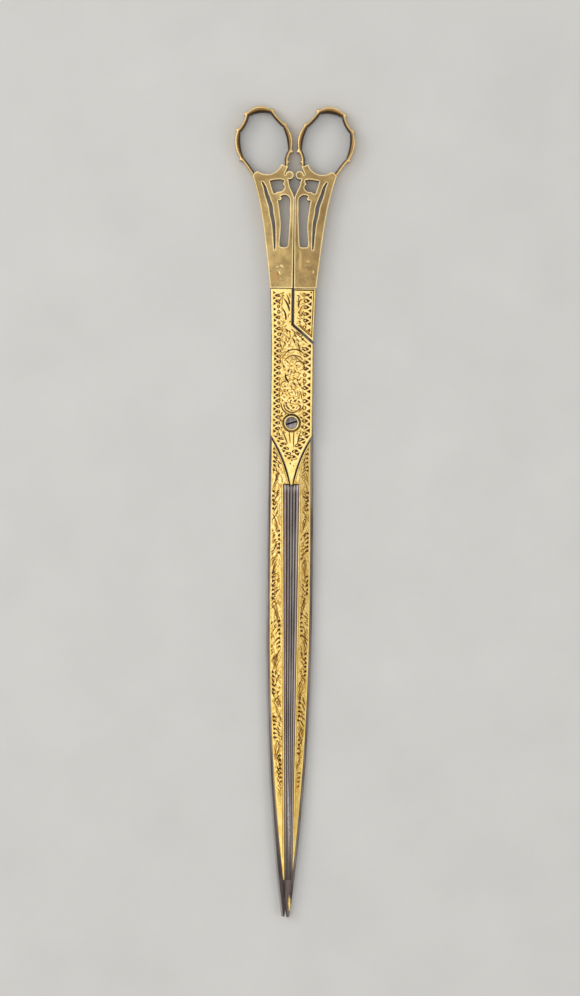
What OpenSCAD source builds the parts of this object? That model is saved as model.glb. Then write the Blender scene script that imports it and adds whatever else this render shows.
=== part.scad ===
// Calligraphy scissors. Two congruent halves cross at a shoulder screw: each is one steel forging
// with a fluted, hollow-ground blade, sheathed in gold and held in a pierced brass handle with a
// lobed finger bow. The pair lies on its back, closed, with the tip towards -Y.
// One half is modelled about its own parting plane at z = 0, with its outer face upwards, its
// handle on the -X side and its blade's back on the +X side. The other half is turned about Y.

/* [Shank and crossing] */
// Distance from the pivot to the joint between steel and brass
shank_l = 47.25; // [42:0.25:60]
// Half the width of the shank at the joint between steel and brass
shank_w = 8.05; // [7.4:0.05:9.5]
// Half the width of the crossing beside the pivot
cross_w = 7.4; // [6.4:0.1:8.6]
// Thickness of one half at the crossing
half_t = 2.3; // [2:0.1:3.2]
// Distance from the pivot to the upper end of the slanted shoulder
heel_y = 34.5; // [28:0.5:40]
// How far the shoulder falls from the slit to the outer edge
shoulder_fall = 6.15; // [3:0.05:8]
// Gap along the shoulder
shoulder_gap = 0.5; // [0.3:0.05:0.8]
// Width of the slit between the halves where the brass begins
slit_w = 0.6; // [0.4:0.05:1]
// Width of the slit between the handles where their rails part
rail_gap = 0.2; // [0.1:0.05:0.4]
// Gap between the flat inner faces of the two halves
lap_gap = 0.06; // [0.02:0.01:0.12]

/* [Bolster] */
// Distance from the pivot to the start of the pointed bolster
bolster_start = 4.3; // [4:0.1:8]
// Length of the pointed bolster
bolster_l = 17.6; // [12:0.1:24]
// Half the width of the bolster at its point
bolster_tip_w = 0.5; // [0.3:0.05:0.9]
// How far the sides of the bolster curve in
bolster_sag = 0.9; // [0.3:0.1:1.4]
// Length of the bolster's blunt point, as a multiple of half its width
bolster_point = 1.2; // [1:0.1:1.6]
// Height of the bolster over the blade
bolster_step = 0.4; // [0.2:0.05:0.6]

/* [Blade] */
// Distance from the pivot to the tip
blade_l = 173.1; // [150:0.1:200]
// Distance from the pivot to the widest place
belly_d = 62; // [45:1:80]
// Distance from the centre line to the blade's back at the bolster
root_w = 7.6; // [6.8:0.1:8.8]
// Distance from the centre line to the blade's back at the widest place
belly_w = 8.1; // [7:0.1:9.4]
// Distance from the centre line to the blade's back at the tip
tip_w = 1.4; // [1:0.1:2]
// How quickly the back draws in towards the tip
taper_power = 2.15; // [1.6:0.05:2.6]
// How far the other blade's back shows at the bolster
reveal_root = 0.2; // [0.1:0.05:0.4]
// How far the other blade's back shows at the widest place
reveal_belly = 0.75; // [0.4:0.05:1.1]
// How far the other blade's back shows at the tip
reveal_tip = 1.75; // [1:0.05:2]
// Thickness at the tip
crown_tip = 0.9; // [0.7:0.05:1.3]
// Slope of the facet beside the cutting edge, in degrees
edge_slope = 11; // [6:1:13]
// Slope of the facet beside the back, in degrees
back_slope = 12; // [6:1:13]
// Thickness left at the cutting edge
edge_t = 0.12; // [0.08:0.02:0.2]
// Angle of the cutting bevel, in degrees
bevel_angle = 50; // [45:1:65]
// Angle of the chamfer along the back, in degrees
back_chamfer = 62; // [55:1:75]
// Height at which the chamfer along the back begins
back_t = 0.45; // [0.3:0.05:0.6]
// Share of the blade's width that is ground hollow
hollow_share = 0.72; // [0.5:0.02:0.8]
// Radius of the wheel that ground the hollow
grind_r = 27; // [22:1:60]
// Distance from the pivot to the start of the hollow
hollow_start = 30; // [26:1:40]
// Distance from the pivot to the place from which the hollow narrows
hollow_turn = 100; // [80:1:120]

/* [Flutes] */
// Half the width of the bare fluted panel at its top
panel_w = 2.7; // [2.3:0.1:3.2]
// Half the width of the fluted panel at its end
panel_end_w = 1.27; // [1:0.01:1.6]
// Distance from the centre line to the middle of the panel at its top
panel_x = 0.2; // [0:0.05:0.5]
// Distance from the centre line to the middle of the panel at its end
panel_end_x = 0.92; // [0.6:0.02:1.2]
// Distance from the panel's end to the tip
panel_end_l = 13; // [10:0.5:20]
// Number of flutes
flute_n = 4; // [3:1:5]
// Width of the land at each side of the flutes, as a share of the pitch
flute_land = 0.57; // [0.5:0.01:0.9]
// Share of the pitch that a flute takes up
flute_share = 0.9; // [0.8:0.05:1]
// Slope of a flute's sides, in degrees
flute_angle = 30; // [20:1:36]
// How far the flutes run up past the bolster's point
flute_run = 0.6; // [0:0.1:1.5]

/* [Gold] */
// Thickness of the gold sheet
gold_t = 0.15; // [0.1:0.01:0.25]
// Bare steel left round the gold of the shank
gold_inset = 0.2; // [0.05:0.01:0.3]
// Bare steel between the gold and the cutting edge
edge_bare = 0.55; // [0.5:0.05:1.2]
// Bare steel between the gold and the blade's back
back_bare = 0.95; // [0.6:0.05:1.2]
// Gap between the gold and the sides of the bolster
bolster_gap = 0.35; // [0.2:0.05:0.5]
// Gap between the gold and the fluted panel
panel_gap = 0.15; // [0.05:0.05:0.3]
// How far the gold runs in under the collar
collar_lap = 1; // [0.5:0.1:1.2]
// Gap between the gold and the screw's threaded end
thread_gap = 0.15; // [0.1:0.05:0.3]

/* [Handle] */
// Length of the handle from the steel to the bottom of the bow
handle_l = 39.65; // [34:0.05:46]
// How far the handle flares outwards
flare_w = 6.8; // [5.5:0.1:8]
// Share of the flare that is straight
flare_straight = 0.65; // [0.5:0.05:0.8]
// Half the width of the wavy slot
wave_w = 0.7; // [0.5:0.05:0.8]
// How gradually the wavy slot narrows to its ends
wave_taper = 0.4; // [0.3:0.05:0.6]
// How far the sides of the window curve in, as a share of a quarter of their length
window_sag = 0.12; // [0.06:0.02:0.16]
// Radius of the small ball in the long slot
ball_r = 0.65; // [0.4:0.05:0.8]
// Radius of the knob at the top of the stem
knob_r = 1.4; // [1.1:0.05:1.5]
// Gap between the two knobs
knob_gap = 0.8; // [0.5:0.05:1.2]
// Radius of the cradle under the finger
cradle_r = 5.37; // [4.8:0.01:6]

/* [Bow] */
// Width of the bow along its middle line
bow_w = 19; // [17.5:0.1:20]
// Height of the bow along its middle line
bow_h = 23.1; // [20:0.1:27]
// Height of the bow's lowest corner over the bottom of the cradle
bow_foot = 0.2; // [0:0.05:0.5]
// Gap between the bow's middle line and the centre line of the scissors
bow_x = 1.55; // [1.4:0.05:2.2]
// Depth of the band
bow_depth = 4.4; // [3.6:0.1:4.6]
// Thickness of the band on its lobes
lobe_t = 1.9; // [1.4:0.1:2.2]
// Thickness of the band on its top lobe
top_t = 2.3; // [1.6:0.1:2.6]
// Thickness of the band on the links between the lobes
link_t = 1.2; // [0.9:0.05:1.5]
// Easing of the band's outer corners
band_ease = 0.25; // [0.15:0.05:0.35]
// Where the band's inner round begins, as a share of its thickness
round_from = 0.05; // [0:0.05:0.2]
// How far a nib stands out from the band
nib_l = 0.8; // [0.4:0.05:1]
// Half the width of a nib where it leaves the band
nib_base = 0.5; // [0.4:0.05:0.7]

/* [Tang and rivets] */
// Length of the tang inside the handle
tang_l = 11; // [8:0.5:12.5]
// Width of the tang
tang_w = 4.4; // [3.4:0.1:5]
// Thickness of the tang
tang_t = 1.8; // [1.2:0.1:2.4]
// Distance from the slit's side to the tang
tang_side = 1.9; // [1.6:0.1:2.4]
// Radius of a rivet
rivet_r = 0.8; // [0.6:0.05:1]
// Distance between the two rivets of a handle
rivet_pitch = 4.8; // [4:0.1:6]
// Gap round the tang and the rivets, filled with braze
braze_gap = 0.03; // [0.01:0.01:0.06]

/* [Pivot] */
// Radius of the screw's shoulder
shoulder_r = 1.5; // [1.2:0.05:1.6]
// Radius of the screw's threaded end
thread_r = 1.15; // [0.9:0.05:1.15]
// Radial clearance of the front half on the shoulder
run_gap = 0.05; // [0.02:0.01:0.1]
// Radius of the screw's head
head_r = 1.93; // [1.8:0.01:2]
// Height of the screw's head
head_h = 0.95; // [0.8:0.05:1.1]
// Width of the screwdriver slot
slot_w = 0.6; // [0.3:0.05:0.8]
// Depth of the screwdriver slot
slot_d = 0.5; // [0.3:0.05:0.6]
// Turn of the screwdriver slot from the width of the scissors, in degrees
slot_turn = 17; // [0:1:90]
// Radius of the domed collar
collar_r = 3.25; // [3:0.05:3.8]
// Radius of the collar's lip
lip_r = 2.5; // [2.4:0.05:2.6]
// Height of the collar
collar_h = 1.8; // [1.6:0.05:2.4]
// Width of the collar's flat lip
lip_w = 0.25; // [0.15:0.05:0.3]
// Height of the collar's upright rim
rim_h = 0.35; // [0.25:0.05:0.5]
// Width of the step over the rim
rim_step = 0.15; // [0.1:0.05:0.25]
// How far the collar's dome bulges
dome_sag = 0.18; // [0.1:0.02:0.24]
// Thickness of the collar under the screw's head
collar_floor = 0.6; // [0.4:0.05:0.8]
// Gap under the collar
collar_gap = 0.03; // [0.02:0.01:0.08]

/* [Hidden] */
$fn = 64;

// Steps along each side of the blade, and how much closer its rows stand towards the tip
blade_steps = 14;
row_power = 1.35;
// Steps along a side of the bolster, and up the collar's dome
side_steps = 10;
dome_steps = 6;
// Steps along a lobe of the bow, along a link, and round the band's inner face
lobe_steps = 8;
link_steps = 4;
band_steps = 4;
// Steps between two chosen points of a smooth outline, and along a side of the window
spline_steps = 5;
window_steps = 4;

// Shoulder and waist
waist_y = heel_y - shoulder_fall;
shoulder_k = shoulder_fall / (cross_w - slit_w / 2);
shoulder_drop = shoulder_gap * sqrt(1 + pow(shoulder_k, 2));
steel_top = half_t - gold_t;
bolster_end = bolster_start + bolster_l;
bolster_x = panel_x;
crown_root = steel_top - bolster_step;
panel_end = blade_l - panel_end_l;

// Width and height of a large block for cutting, how far a cut runs past the face it starts
// from, and how far each cut of a bevel runs past its own length
far = 400;
block_h = 20;
past = 1;
bevel_past = 0.02;

function mix(a, b, t) = a + (b - a) * t;

// Points from p to q on a shallow curve that stands sag to the left of the way from p to q
function bowed(p, q, sag, n) =
    let (way = q - p, left = [-way[1], way[0]] / norm(way))
    [for (i = [0 : n - 1]) let (t = i / n) mix(p, q, t) + left * 4 * t * (1 - t) * sag];

// A smooth line through chosen points: a cubic between each two, open or closed
function pick(p, i, closed) =
    closed ? p[(i + len(p)) % len(p)] : p[max(0, min(len(p) - 1, i))];
function cubic(a, b, c, d, t) =
    0.5 * (2 * b + (c - a) * t + (2 * a - 5 * b + 4 * c - d) * t * t
        + (3 * b - a - 3 * c + d) * t * t * t);
function spline(p, closed = false) = [
    for (i = [0 : len(p) - (closed ? 1 : 2)], k = [0 : spline_steps - 1])
        cubic(pick(p, i - 1, closed), p[i], pick(p, i + 1, closed), pick(p, i + 2, closed),
            k / spline_steps),
    if (!closed) p[len(p) - 1],
];

// Outline of the shank's outer layer, with its shoulder and pointed bolster
function side_w(y) = y <= waist_y
    ? cross_w : mix(cross_w, shank_w, (y - waist_y) / (shank_l - waist_y));
function lap_outline(inset = 0) =
    let (
        slit = slit_w / 2 + inset,
        drop = shoulder_drop + inset * sqrt(1 + pow(shoulder_k, 2)),
        side = cross_w - inset,
        tip = max(0.1, bolster_tip_w - inset),
        rise = bolster_point * tip,
        sag = bolster_sag + inset / 2
    ) concat(
        [
            [inset - shank_w, shank_l - inset], [-slit, shank_l - inset],
            [-slit, heel_y - drop + shoulder_k * (slit + slit_w / 2)],
            [side, waist_y - drop + shoulder_k * inset],
        ],
        bowed([side, -bolster_start], [bolster_x + tip, rise - bolster_end], -sag, side_steps),
        [[bolster_x + tip, rise - bolster_end], [bolster_x, inset - bolster_end]],
        bowed([bolster_x - tip, rise - bolster_end], [-side, -bolster_start], -sag, side_steps),
        [[-side, -bolster_start], [-side, waist_y]]
    );

// Outline of the heel, where the half takes the full thickness
function heel_outline(inset = 0) =
    let (rise = inset * sqrt(1 + pow(shoulder_k, 2)))
    [
        [-slit_w / 2 - inset, shank_l - inset],
        [-slit_w / 2 - inset, heel_y + rise - shoulder_k * inset],
        [inset - cross_w, waist_y + rise + shoulder_k * inset],
        [inset - shank_w, shank_l - inset],
    ];

// The blade's back and cutting edge at a distance d below the pivot
function to_tip(d) = max(0, d - belly_d) / (blade_l - belly_d);
function to_belly(d) = (belly_d - d) / (belly_d - bolster_start);
function back_x(d) = d < belly_d
    ? mix(belly_w, root_w, pow(to_belly(d), 2))
    : mix(belly_w, tip_w, pow(to_tip(d), taper_power));
function reveal(d) = d < belly_d
    ? mix(reveal_belly, reveal_root, to_belly(d))
    : mix(reveal_belly, reveal_tip, pow(to_tip(d), 2));
function edge_x(d) = reveal(d) - back_x(d);
// Rows along the blade, closer together towards the tip
blade_rows = [
    for (i = [0 : blade_steps]) 
        mix(bolster_start, blade_l, 1 - pow(1 - i / blade_steps, row_power))
];
function edge_line(bare = 0) = [for (d = blade_rows) [edge_x(d) + bare, -d]];
function back_line(bare = 0) =
    [for (i = [blade_steps : -1 : 0]) [back_x(blade_rows[i]) - bare, -blade_rows[i]]];

// Middle and half width of the fluted panel, and the height of the blade's flat crown
function along(d) = (d - bolster_end) / (panel_end - bolster_end);
function middle_x(d) = mix(panel_x, panel_end_x, along(d));
function middle_w(d) = mix(panel_w, panel_end_w, along(d));
function crown(d) = mix(crown_root, crown_tip, d / blade_l);
flute_pitch = 2 * panel_w / (flute_n + 2 * flute_land);
flute_end_pitch = 2 * panel_end_w / (flute_n + 2 * flute_land);

// A place on the handle: u goes from the slit (0) to the outer edge (1), v from the steel (0) to
// the bottom of the bow (1)
rail_v = 0.8;
function slit_x(v) = -mix(slit_w, rail_gap, min(1, v / rail_v)) / 2;
function flare_x(v) =
    -shank_w - flare_w * (flare_straight * v + (1 - flare_straight) * pow(v, 4));
function on_handle(u, v) = [mix(slit_x(v), flare_x(v), u), shank_l + v * handle_l];
function all_on_handle(places) = [for (p = places) on_handle(p[0], p[1])];

// The handle's outline above the place where the two rails part: stem, inner horn, outer horn
stem = [[0, rail_v], [0.06, 0.85], [0.123, 0.894], [0.148, 0.945], [0.17, 0.97], [0.235, 1.004]];
inner_horn = [[0.145, 1.072], [0.22, 1.081], [0.285, 1.091]];
outer_horn = [[0.851, 1.028], [0.926, 1.015], [1, 0.992]];
knob_v = 0.997;
cradle_u = 0.653;
edge_steps = 12;

// Middle line of the wavy slot, outline of the long slot, the ball in it, and the window
wave = [
    [0.811, 0.937], [0.772, 0.887], [0.76, 0.831], [0.727, 0.776], [0.69, 0.715], [0.69, 0.649],
    [0.66, 0.574], [0.665, 0.473], [0.69, 0.329],
];
long_slot = [
    [0.455, 0.775], [0.37, 0.812], [0.25, 0.824], [0.14, 0.803], [0.106, 0.765], [0.118, 0.69],
    [0.114, 0.65], [0.15, 0.5], [0.185, 0.385], [0.25, 0.361], [0.44, 0.361], [0.505, 0.385],
    [0.445, 0.5], [0.427, 0.58], [0.443, 0.68],
];
ball = [0.41, 0.79];
window = [
    [0.613, 0.946], [0.36, 0.96], [0.25, 0.95], [0.29, 0.917], [0.247, 0.887], [0.32, 0.855],
    [0.45, 0.848], [0.565, 0.831],
];

tang_x = -(slit_w / 2 + tang_side + tang_w / 2);
rivet_y = shank_l + tang_l / 2;

// The bow's corners, as shares of half its width and half its height, how far the band stands
// out between them, as shares of the distance, and which side is the top lobe: lobes stand out,
// links lie flat or in
bow_corners = [
    [-0.77, -0.53], [-0.905, 0.3], [-0.605, 0.787], [0.285, 0.888], [0.75, 0.47], [0.965, -0.28],
    [0.84, -0.625],
];
bow_sags = [-0.02, 0.107, -0.075, 0.165, -0.03, 0.098, -0.07, 0];
top_side = 3;
// A side that stands out by more than this share is a lobe
lobe_share = 0.05;

// A round bar between two points, straight or tapered
module rod(p, q, r_p, r_q) {
    way = q - p;
    translate(p)
        rotate([0, acos(way[2] / norm(way)), atan2(way[1], way[0])])
            cylinder(h = norm(way), r1 = r_p, r2 = r_q);
}

// Everything under a plane that passes through p with the slopes dz/dx and dz/dy
module under(p, slope_x, slope_y) {
    turn_y = -atan(slope_x);
    turn_x = atan(slope_y * cos(turn_y));
    translate(p)
        rotate([turn_x, turn_y, 0])
            translate([-far / 2, -far / 2, -block_h])
                cube([far, far, block_h]);
}

// The three faces of the blade: a flat crown with a sloping facet at each side of the panel
module roof(lift = 0) {
    fall = (crown_root - crown_tip) / blade_l;
    tilt_edge = tan(edge_slope);
    tilt_back = -tan(back_slope);
    left = middle_x(0) - middle_w(0);
    right = middle_x(0) + middle_w(0);
    left_run = left - middle_x(1) + middle_w(1);
    right_run = right - middle_x(1) - middle_w(1);
    intersection() {
        under([0, 0, crown_root + lift], 0, fall);
        under([left, 0, crown_root + lift], tilt_edge, fall - tilt_edge * left_run);
        under([right, 0, crown_root + lift], tilt_back, fall - tilt_back * right_run);
    }
}

// Cuts a bevel along a line of points, from the height up: the line is convex and the blade
// stands on its left, going along it
module bevel(line, height, angle) {
    for (i = [0 : len(line) - 2]) {
        way = line[i + 1] - line[i];
        translate([line[i][0], line[i][1], lap_gap / 2 + height])
            rotate([0, 0, atan2(way[1], way[0])])
                rotate([angle, 0, 0])
                    translate([-bevel_past, -past, 0])
                        cube([norm(way) + 2 * bevel_past, past + 2 * half_t, 2 * half_t]);
    }
}

// The hollow grind of the inner face between two distances below the pivot
module hollow(d_from, d_to) {
    function ground_w(d) = hollow_share * (back_x(d) - edge_x(d));
    function axis_z(d) = lap_gap / 2 - sqrt(pow(grind_r, 2) - pow(ground_w(d) / 2, 2));
    function axis(d) = [(back_x(d) + edge_x(d)) / 2, -d, axis_z(d)];
    rod(axis(d_from), axis(d_to), grind_r, grind_r);
}

// The flutes are shallow grooves that draw together, and grow shallower, towards the tip
module flutes() {
    depth = flute_share * flute_pitch / 2 * tan(flute_angle);
    end_depth = flute_share * flute_end_pitch / 2 * tan(flute_angle);
    for (i = [0 : flute_n - 1]) {
        place = i - (flute_n - 1) / 2;
        groove(
            [
                panel_x + place * flute_pitch, flute_run - bolster_end,
                crown(bolster_end) - depth
            ],
            [
                panel_end_x + place * flute_end_pitch, -panel_end,
                crown(panel_end) - end_depth
            ]
        );
    }
}

// A groove whose bottom runs from p to q
module groove(p, q) {
    way = q - p;
    level = norm([way[0], way[1]]);
    translate(p)
        rotate([0, -atan2(way[2], level), atan2(way[1], way[0])])
            rotate([90, 0, 90])
                linear_extrude(norm(way))
                    polygon([[0, 0], [half_t, half_t * tan(flute_angle)],
                        [-half_t, half_t * tan(flute_angle)]]);
}

module blade() {
    difference() {
        intersection() {
            translate([0, 0, lap_gap / 2])
                linear_extrude(half_t)
                    polygon(concat([[cross_w, 0], [-cross_w, 0]], edge_line(), back_line()));
            roof();
        }
        bevel(edge_line(), edge_t, bevel_angle);
        bevel(back_line(), back_t, back_chamfer);
        hollow(hollow_start, hollow_turn);
        hollow(hollow_turn, panel_end);
        flutes();
    }
}

// One forging: blade, crossing, bolster, heel and tang, bored at the pivot
module forging(bore_r) {
    color("dimgray")
        difference() {
            union() {
                blade();
                translate([0, 0, lap_gap / 2])
                    linear_extrude(steel_top - lap_gap / 2) polygon(lap_outline());
                translate([0, 0, -steel_top])
                    linear_extrude(2 * steel_top) polygon(heel_outline());
                translate([tang_x - tang_w / 2, shank_l - past, -tang_t / 2])
                    cube([tang_w, tang_l + past, tang_t]);
            }
            translate([0, 0, -half_t]) cylinder(h = 2 * half_t, r = bore_r);
            rivet_holes();
        }
}

module shank_gold(hole_r) {
    color("gold")
        translate([0, 0, steel_top])
            difference() {
                linear_extrude(gold_t) polygon(lap_outline(gold_inset));
                translate([0, 0, -past]) cylinder(h = gold_t + 2 * past, r = hole_r);
            }
}

module heel_gold() {
    color("gold")
        translate([0, 0, -half_t])
            linear_extrude(gold_t) polygon(heel_outline(gold_inset));
}

// The gold on the blade's facets at one side of the panel: side is -1 beside the cutting edge
// and 1 beside the back
module facet_gold(side) {
    panel_top = flute_run - bolster_end;
    rows = [-panel_top, panel_end, blade_l];
    color("gold")
        difference() {
            intersection() {
                linear_extrude(half_t)
                    difference() {
                        intersection() {
                            polygon(concat(edge_line(edge_bare), back_line(back_bare)));
                            translate([middle_x(0), 0])
                                rotate([0, 0, atan(middle_x(1) - middle_x(0))])
                                    translate([side < 0 ? -far : 0, -panel_end])
                                        square([far, panel_end]);
                        }
                        polygon(lap_outline(-bolster_gap));
                        polygon(concat(
                            [for (d = rows) [middle_x(d) - middle_w(d) - panel_gap, -d]],
                            [for (i = [2 : -1 : 0])
                                [middle_x(rows[i]) + middle_w(rows[i]) + panel_gap, -rows[i]]]
                        ));
                    }
                roof(gold_t);
            }
            roof();
        }
}

// The handle: a pierced plate with a socket for the tang, a stem with a knob, and two horns
module handle() {
    color("darkgoldenrod")
        difference() {
            translate([0, 0, -half_t])
                linear_extrude(2 * half_t)
                    difference() {
                        polygon(concat(
                            [on_handle(0, 0)], spline(all_on_handle(stem)),
                            all_on_handle(inner_horn), all_on_handle(outer_horn),
                            [for (i = [edge_steps - 1 : -1 : 0]) on_handle(1, i / edge_steps)]
                        ));
                        polygon(wavy_outline());
                        polygon(spline(all_on_handle(long_slot), true));
                        polygon([
                            for (i = [0 : len(window) - 1])
                                each bowed(
                                    on_handle(window[i][0], window[i][1]),
                                    let (next = window[(i + 1) % len(window)])
                                        on_handle(next[0], next[1]),
                                    window_sag, window_steps)
                        ]);
                    }
            translate(concat(cradle_place(), [-half_t - past]))
                cylinder(h = 2 * (half_t + past), r = cradle_r);
            socket();
            rivet_holes();
        }
    color("darkgoldenrod") {
        translate(concat(on_handle(ball[0], ball[1]), [-half_t]))
            cylinder(h = 2 * half_t, r = ball_r);
        knob();
    }
}

// The wavy slot: a smooth middle line with a width that dies away at both ends
function wavy_outline() =
    let (
        line = spline(all_on_handle(wave)),
        last = len(line) - 1,
        side = [for (i = [0 : last])
            let (
                way = line[min(last, i + 1)] - line[max(0, i - 1)],
                left = [-way[1], way[0]] / norm(way)
            ) left * wave_w * pow(max(0, sin(180 * i / last)), wave_taper)]
    ) concat(
        [for (i = [0 : last]) line[i] + side[i]],
        [for (i = [last - 1 : -1 : 1]) line[i] - side[i]]
    );

function cradle_place() =
    [mix(slit_x(1), flare_x(1), cradle_u), shank_l + handle_l + cradle_r];

// The round knob at the top of the stem
module knob() {
    translate([-knob_gap / 2 - knob_r, shank_l + knob_v * handle_l, -half_t])
        cylinder(h = 2 * half_t, r = knob_r);
}

// The room for the tang inside the handle
module socket() {
    translate([
        tang_x - tang_w / 2 - braze_gap, shank_l - past, -tang_t / 2 - braze_gap
    ])
        cube([
            tang_w + 2 * braze_gap, tang_l + past + braze_gap, tang_t + 2 * braze_gap
        ]);
}

// The two rivets of a handle, or their holes
module rivet_row(r, extra = 0) {
    for (side = [-1, 1])
        translate([tang_x, rivet_y + side * rivet_pitch / 2, -half_t - extra])
            cylinder(h = 2 * (half_t + extra), r = r);
}

module rivet_holes() {
    rivet_row(rivet_r + braze_gap, past);
}

module rivets() {
    color("goldenrod") rivet_row(rivet_r);
}

// Middle line of the band, from the outer horn round to the inner horn: each point has its place,
// the band's thickness there, and how far a nib stands out
function bow_corner(i) =
    [
        -bow_x - bow_w / 2 + bow_corners[i][0] * bow_w / 2,
        shank_l + handle_l + bow_foot + bow_h / 2 + bow_corners[i][1] * bow_h / 2
    ];
outer_seat = [for (i = [1, 2]) on_handle(outer_horn[i][0], outer_horn[i][1])];
inner_seat = [for (i = [0, 1]) on_handle(inner_horn[i][0], inner_horn[i][1])];
bow_knots = concat(
    [(outer_seat[0] + outer_seat[1]) / 2],
    [for (i = [0 : len(bow_corners) - 1]) bow_corner(i)],
    [(inner_seat[0] + inner_seat[1]) / 2]
);
function bow_shares(n, ends) = [
    0, ends, for (k = [1 : n - 1]) mix(ends, 1 - ends, k / n), 1 - ends,
];
bow_line = [
    for (i = [0 : len(bow_sags) - 1])
        let (
            lobe = bow_sags[i] > lobe_share,
            most = i == top_side ? top_t : lobe ? lobe_t : link_t,
            from = bow_knots[i],
            to = bow_knots[i + 1],
            left = [from[1] - to[1], to[0] - from[0]]
        )
        for (t = bow_shares(lobe ? lobe_steps : link_steps, nib_base / norm(to - from)))
            let (place = mix(from, to, t) + left * 4 * t * (1 - t) * bow_sags[i])
                [
                    place[0], place[1], mix(link_t, most, sin(180 * t)),
                    t == 0 && i > 0 ? nib_l : 0,
                ],
    [bow_knots[len(bow_sags)][0], bow_knots[len(bow_sags)][1], link_t, 0],
];
function flat(p) = [p[0], p[1]];
function outward(i) =
    i == 0 ? (outer_seat[1] - outer_seat[0]) / norm(outer_seat[1] - outer_seat[0])
    : i == len(bow_line) - 1
        ? (inner_seat[0] - inner_seat[1]) / norm(inner_seat[0] - inner_seat[1])
    : let (way = flat(bow_line[i + 1]) - flat(bow_line[i - 1]))
        [-way[1], way[0]] / norm(way);

// The band's section is a D: flat outside with eased corners, half round inside
function band_section(t, nib) = concat(
    [
        [t / 2 - band_ease, -bow_depth / 2], [t / 2 + nib, -bow_depth / 2 + band_ease],
        [t / 2 + nib, bow_depth / 2 - band_ease], [t / 2 - band_ease, bow_depth / 2],
    ],
    [for (k = [0 : band_steps])
        let (a = 90 - 180 * k / band_steps)
            [t * (round_from - (0.5 + round_from) * cos(a)), bow_depth / 2 * sin(a)]]
);
module band() {
    rings = [for (i = [0 : len(bow_line) - 1])
        [for (s = band_section(bow_line[i][2], bow_line[i][3]))
            concat(flat(bow_line[i]) + outward(i) * s[0], [s[1]])]];
    m = len(rings[0]);
    last = len(rings) - 1;
    polyhedron(
        points = [for (ring = rings) each ring],
        faces = [
            for (i = [0 : last - 1], k = [0 : m - 1])
                let (a = i * m + k, b = i * m + (k + 1) % m)
                each [[a, b, b + m], [a, b + m, a + m]],
            [for (k = [m - 1 : -1 : 0]) k],
            [for (k = [0 : m - 1]) last * m + k],
        ]
    );
}

module bow() {
    color("goldenrod") band();
}

// The shoulder screw, standing in the lower half with its head over the upper one
module screw() {
    seat_z = 2 * half_t + collar_gap + collar_floor;
    color("slategray")
        difference() {
            union() {
                cylinder(h = half_t, r = thread_r);
                translate([0, 0, half_t - lap_gap / 2])
                    cylinder(h = seat_z - half_t + lap_gap / 2, r = shoulder_r);
                translate([0, 0, seat_z]) cylinder(h = head_h, r = head_r);
            }
            translate([0, 0, seat_z + head_h - slot_d])
                rotate([0, 0, slot_turn])
                    translate([-head_r - past, -slot_w / 2, 0])
                        cube([2 * (head_r + past), slot_w, slot_d + past]);
        }
}

// The domed collar, with a seat for the screw's head
module collar() {
    recess_r = head_r + run_gap;
    color("goldenrod")
        translate([0, 0, 2 * half_t + collar_gap])
            rotate_extrude()
                polygon(concat(
                    [
                        [shoulder_r + run_gap, 0], [collar_r, 0], [collar_r, rim_h],
                    ],
                    bowed(
                        [collar_r - rim_step, rim_h + rim_step], [lip_r, collar_h], -dome_sag,
                        dome_steps
                    ),
                    [
                        [lip_r, collar_h], [lip_r - lip_w, collar_h],
                        [recess_r, collar_h - lip_w],
                        [recess_r, collar_floor], [shoulder_r + run_gap, collar_floor],
                    ]
                ));
}

// The upper half keeps its outer face up; the lower one is turned over about its length
module front() {
    translate([0, 0, half_t]) children();
}
module back() {
    translate([0, 0, half_t]) rotate([0, 180, 0]) children();
}

front_hole = collar_r - collar_lap;
back_hole = thread_r + thread_gap;

front() forging(shoulder_r + run_gap);  // front_blade
back() forging(thread_r + braze_gap);  // back_blade
front() handle();  // front_handle
back() handle();  // back_handle
front() bow();  // front_bow
back() bow();  // back_bow
front() rivets();  // front_handle_rivets
back() rivets();  // back_handle_rivets
front() shank_gold(front_hole);  // front_shank_gold
back() shank_gold(back_hole);  // back_shank_gold
front() heel_gold();  // front_heel_gold
back() heel_gold();  // back_heel_gold
front() facet_gold(-1);  // front_edge_gold
back() facet_gold(-1);  // back_edge_gold
front() facet_gold(1);  // front_spine_gold
back() facet_gold(1);  // back_spine_gold
screw();  // pivot_screw
collar();  // pivot_collar
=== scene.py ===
# %% [markdown]
# # Calligraphy scissors
# A long pair of paper scissors lies on its back, closed, with the tip towards -Y. Its two halves
# are the same forging, one turned over on the other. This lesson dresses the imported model: it keeps
# every size and place, and gives each part the finish and the fine shape that the real one shows.
# We work in millimetres about one half's parting plane, and place the points at the very end.

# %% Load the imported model
import math
from functools import partialmethod

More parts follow.
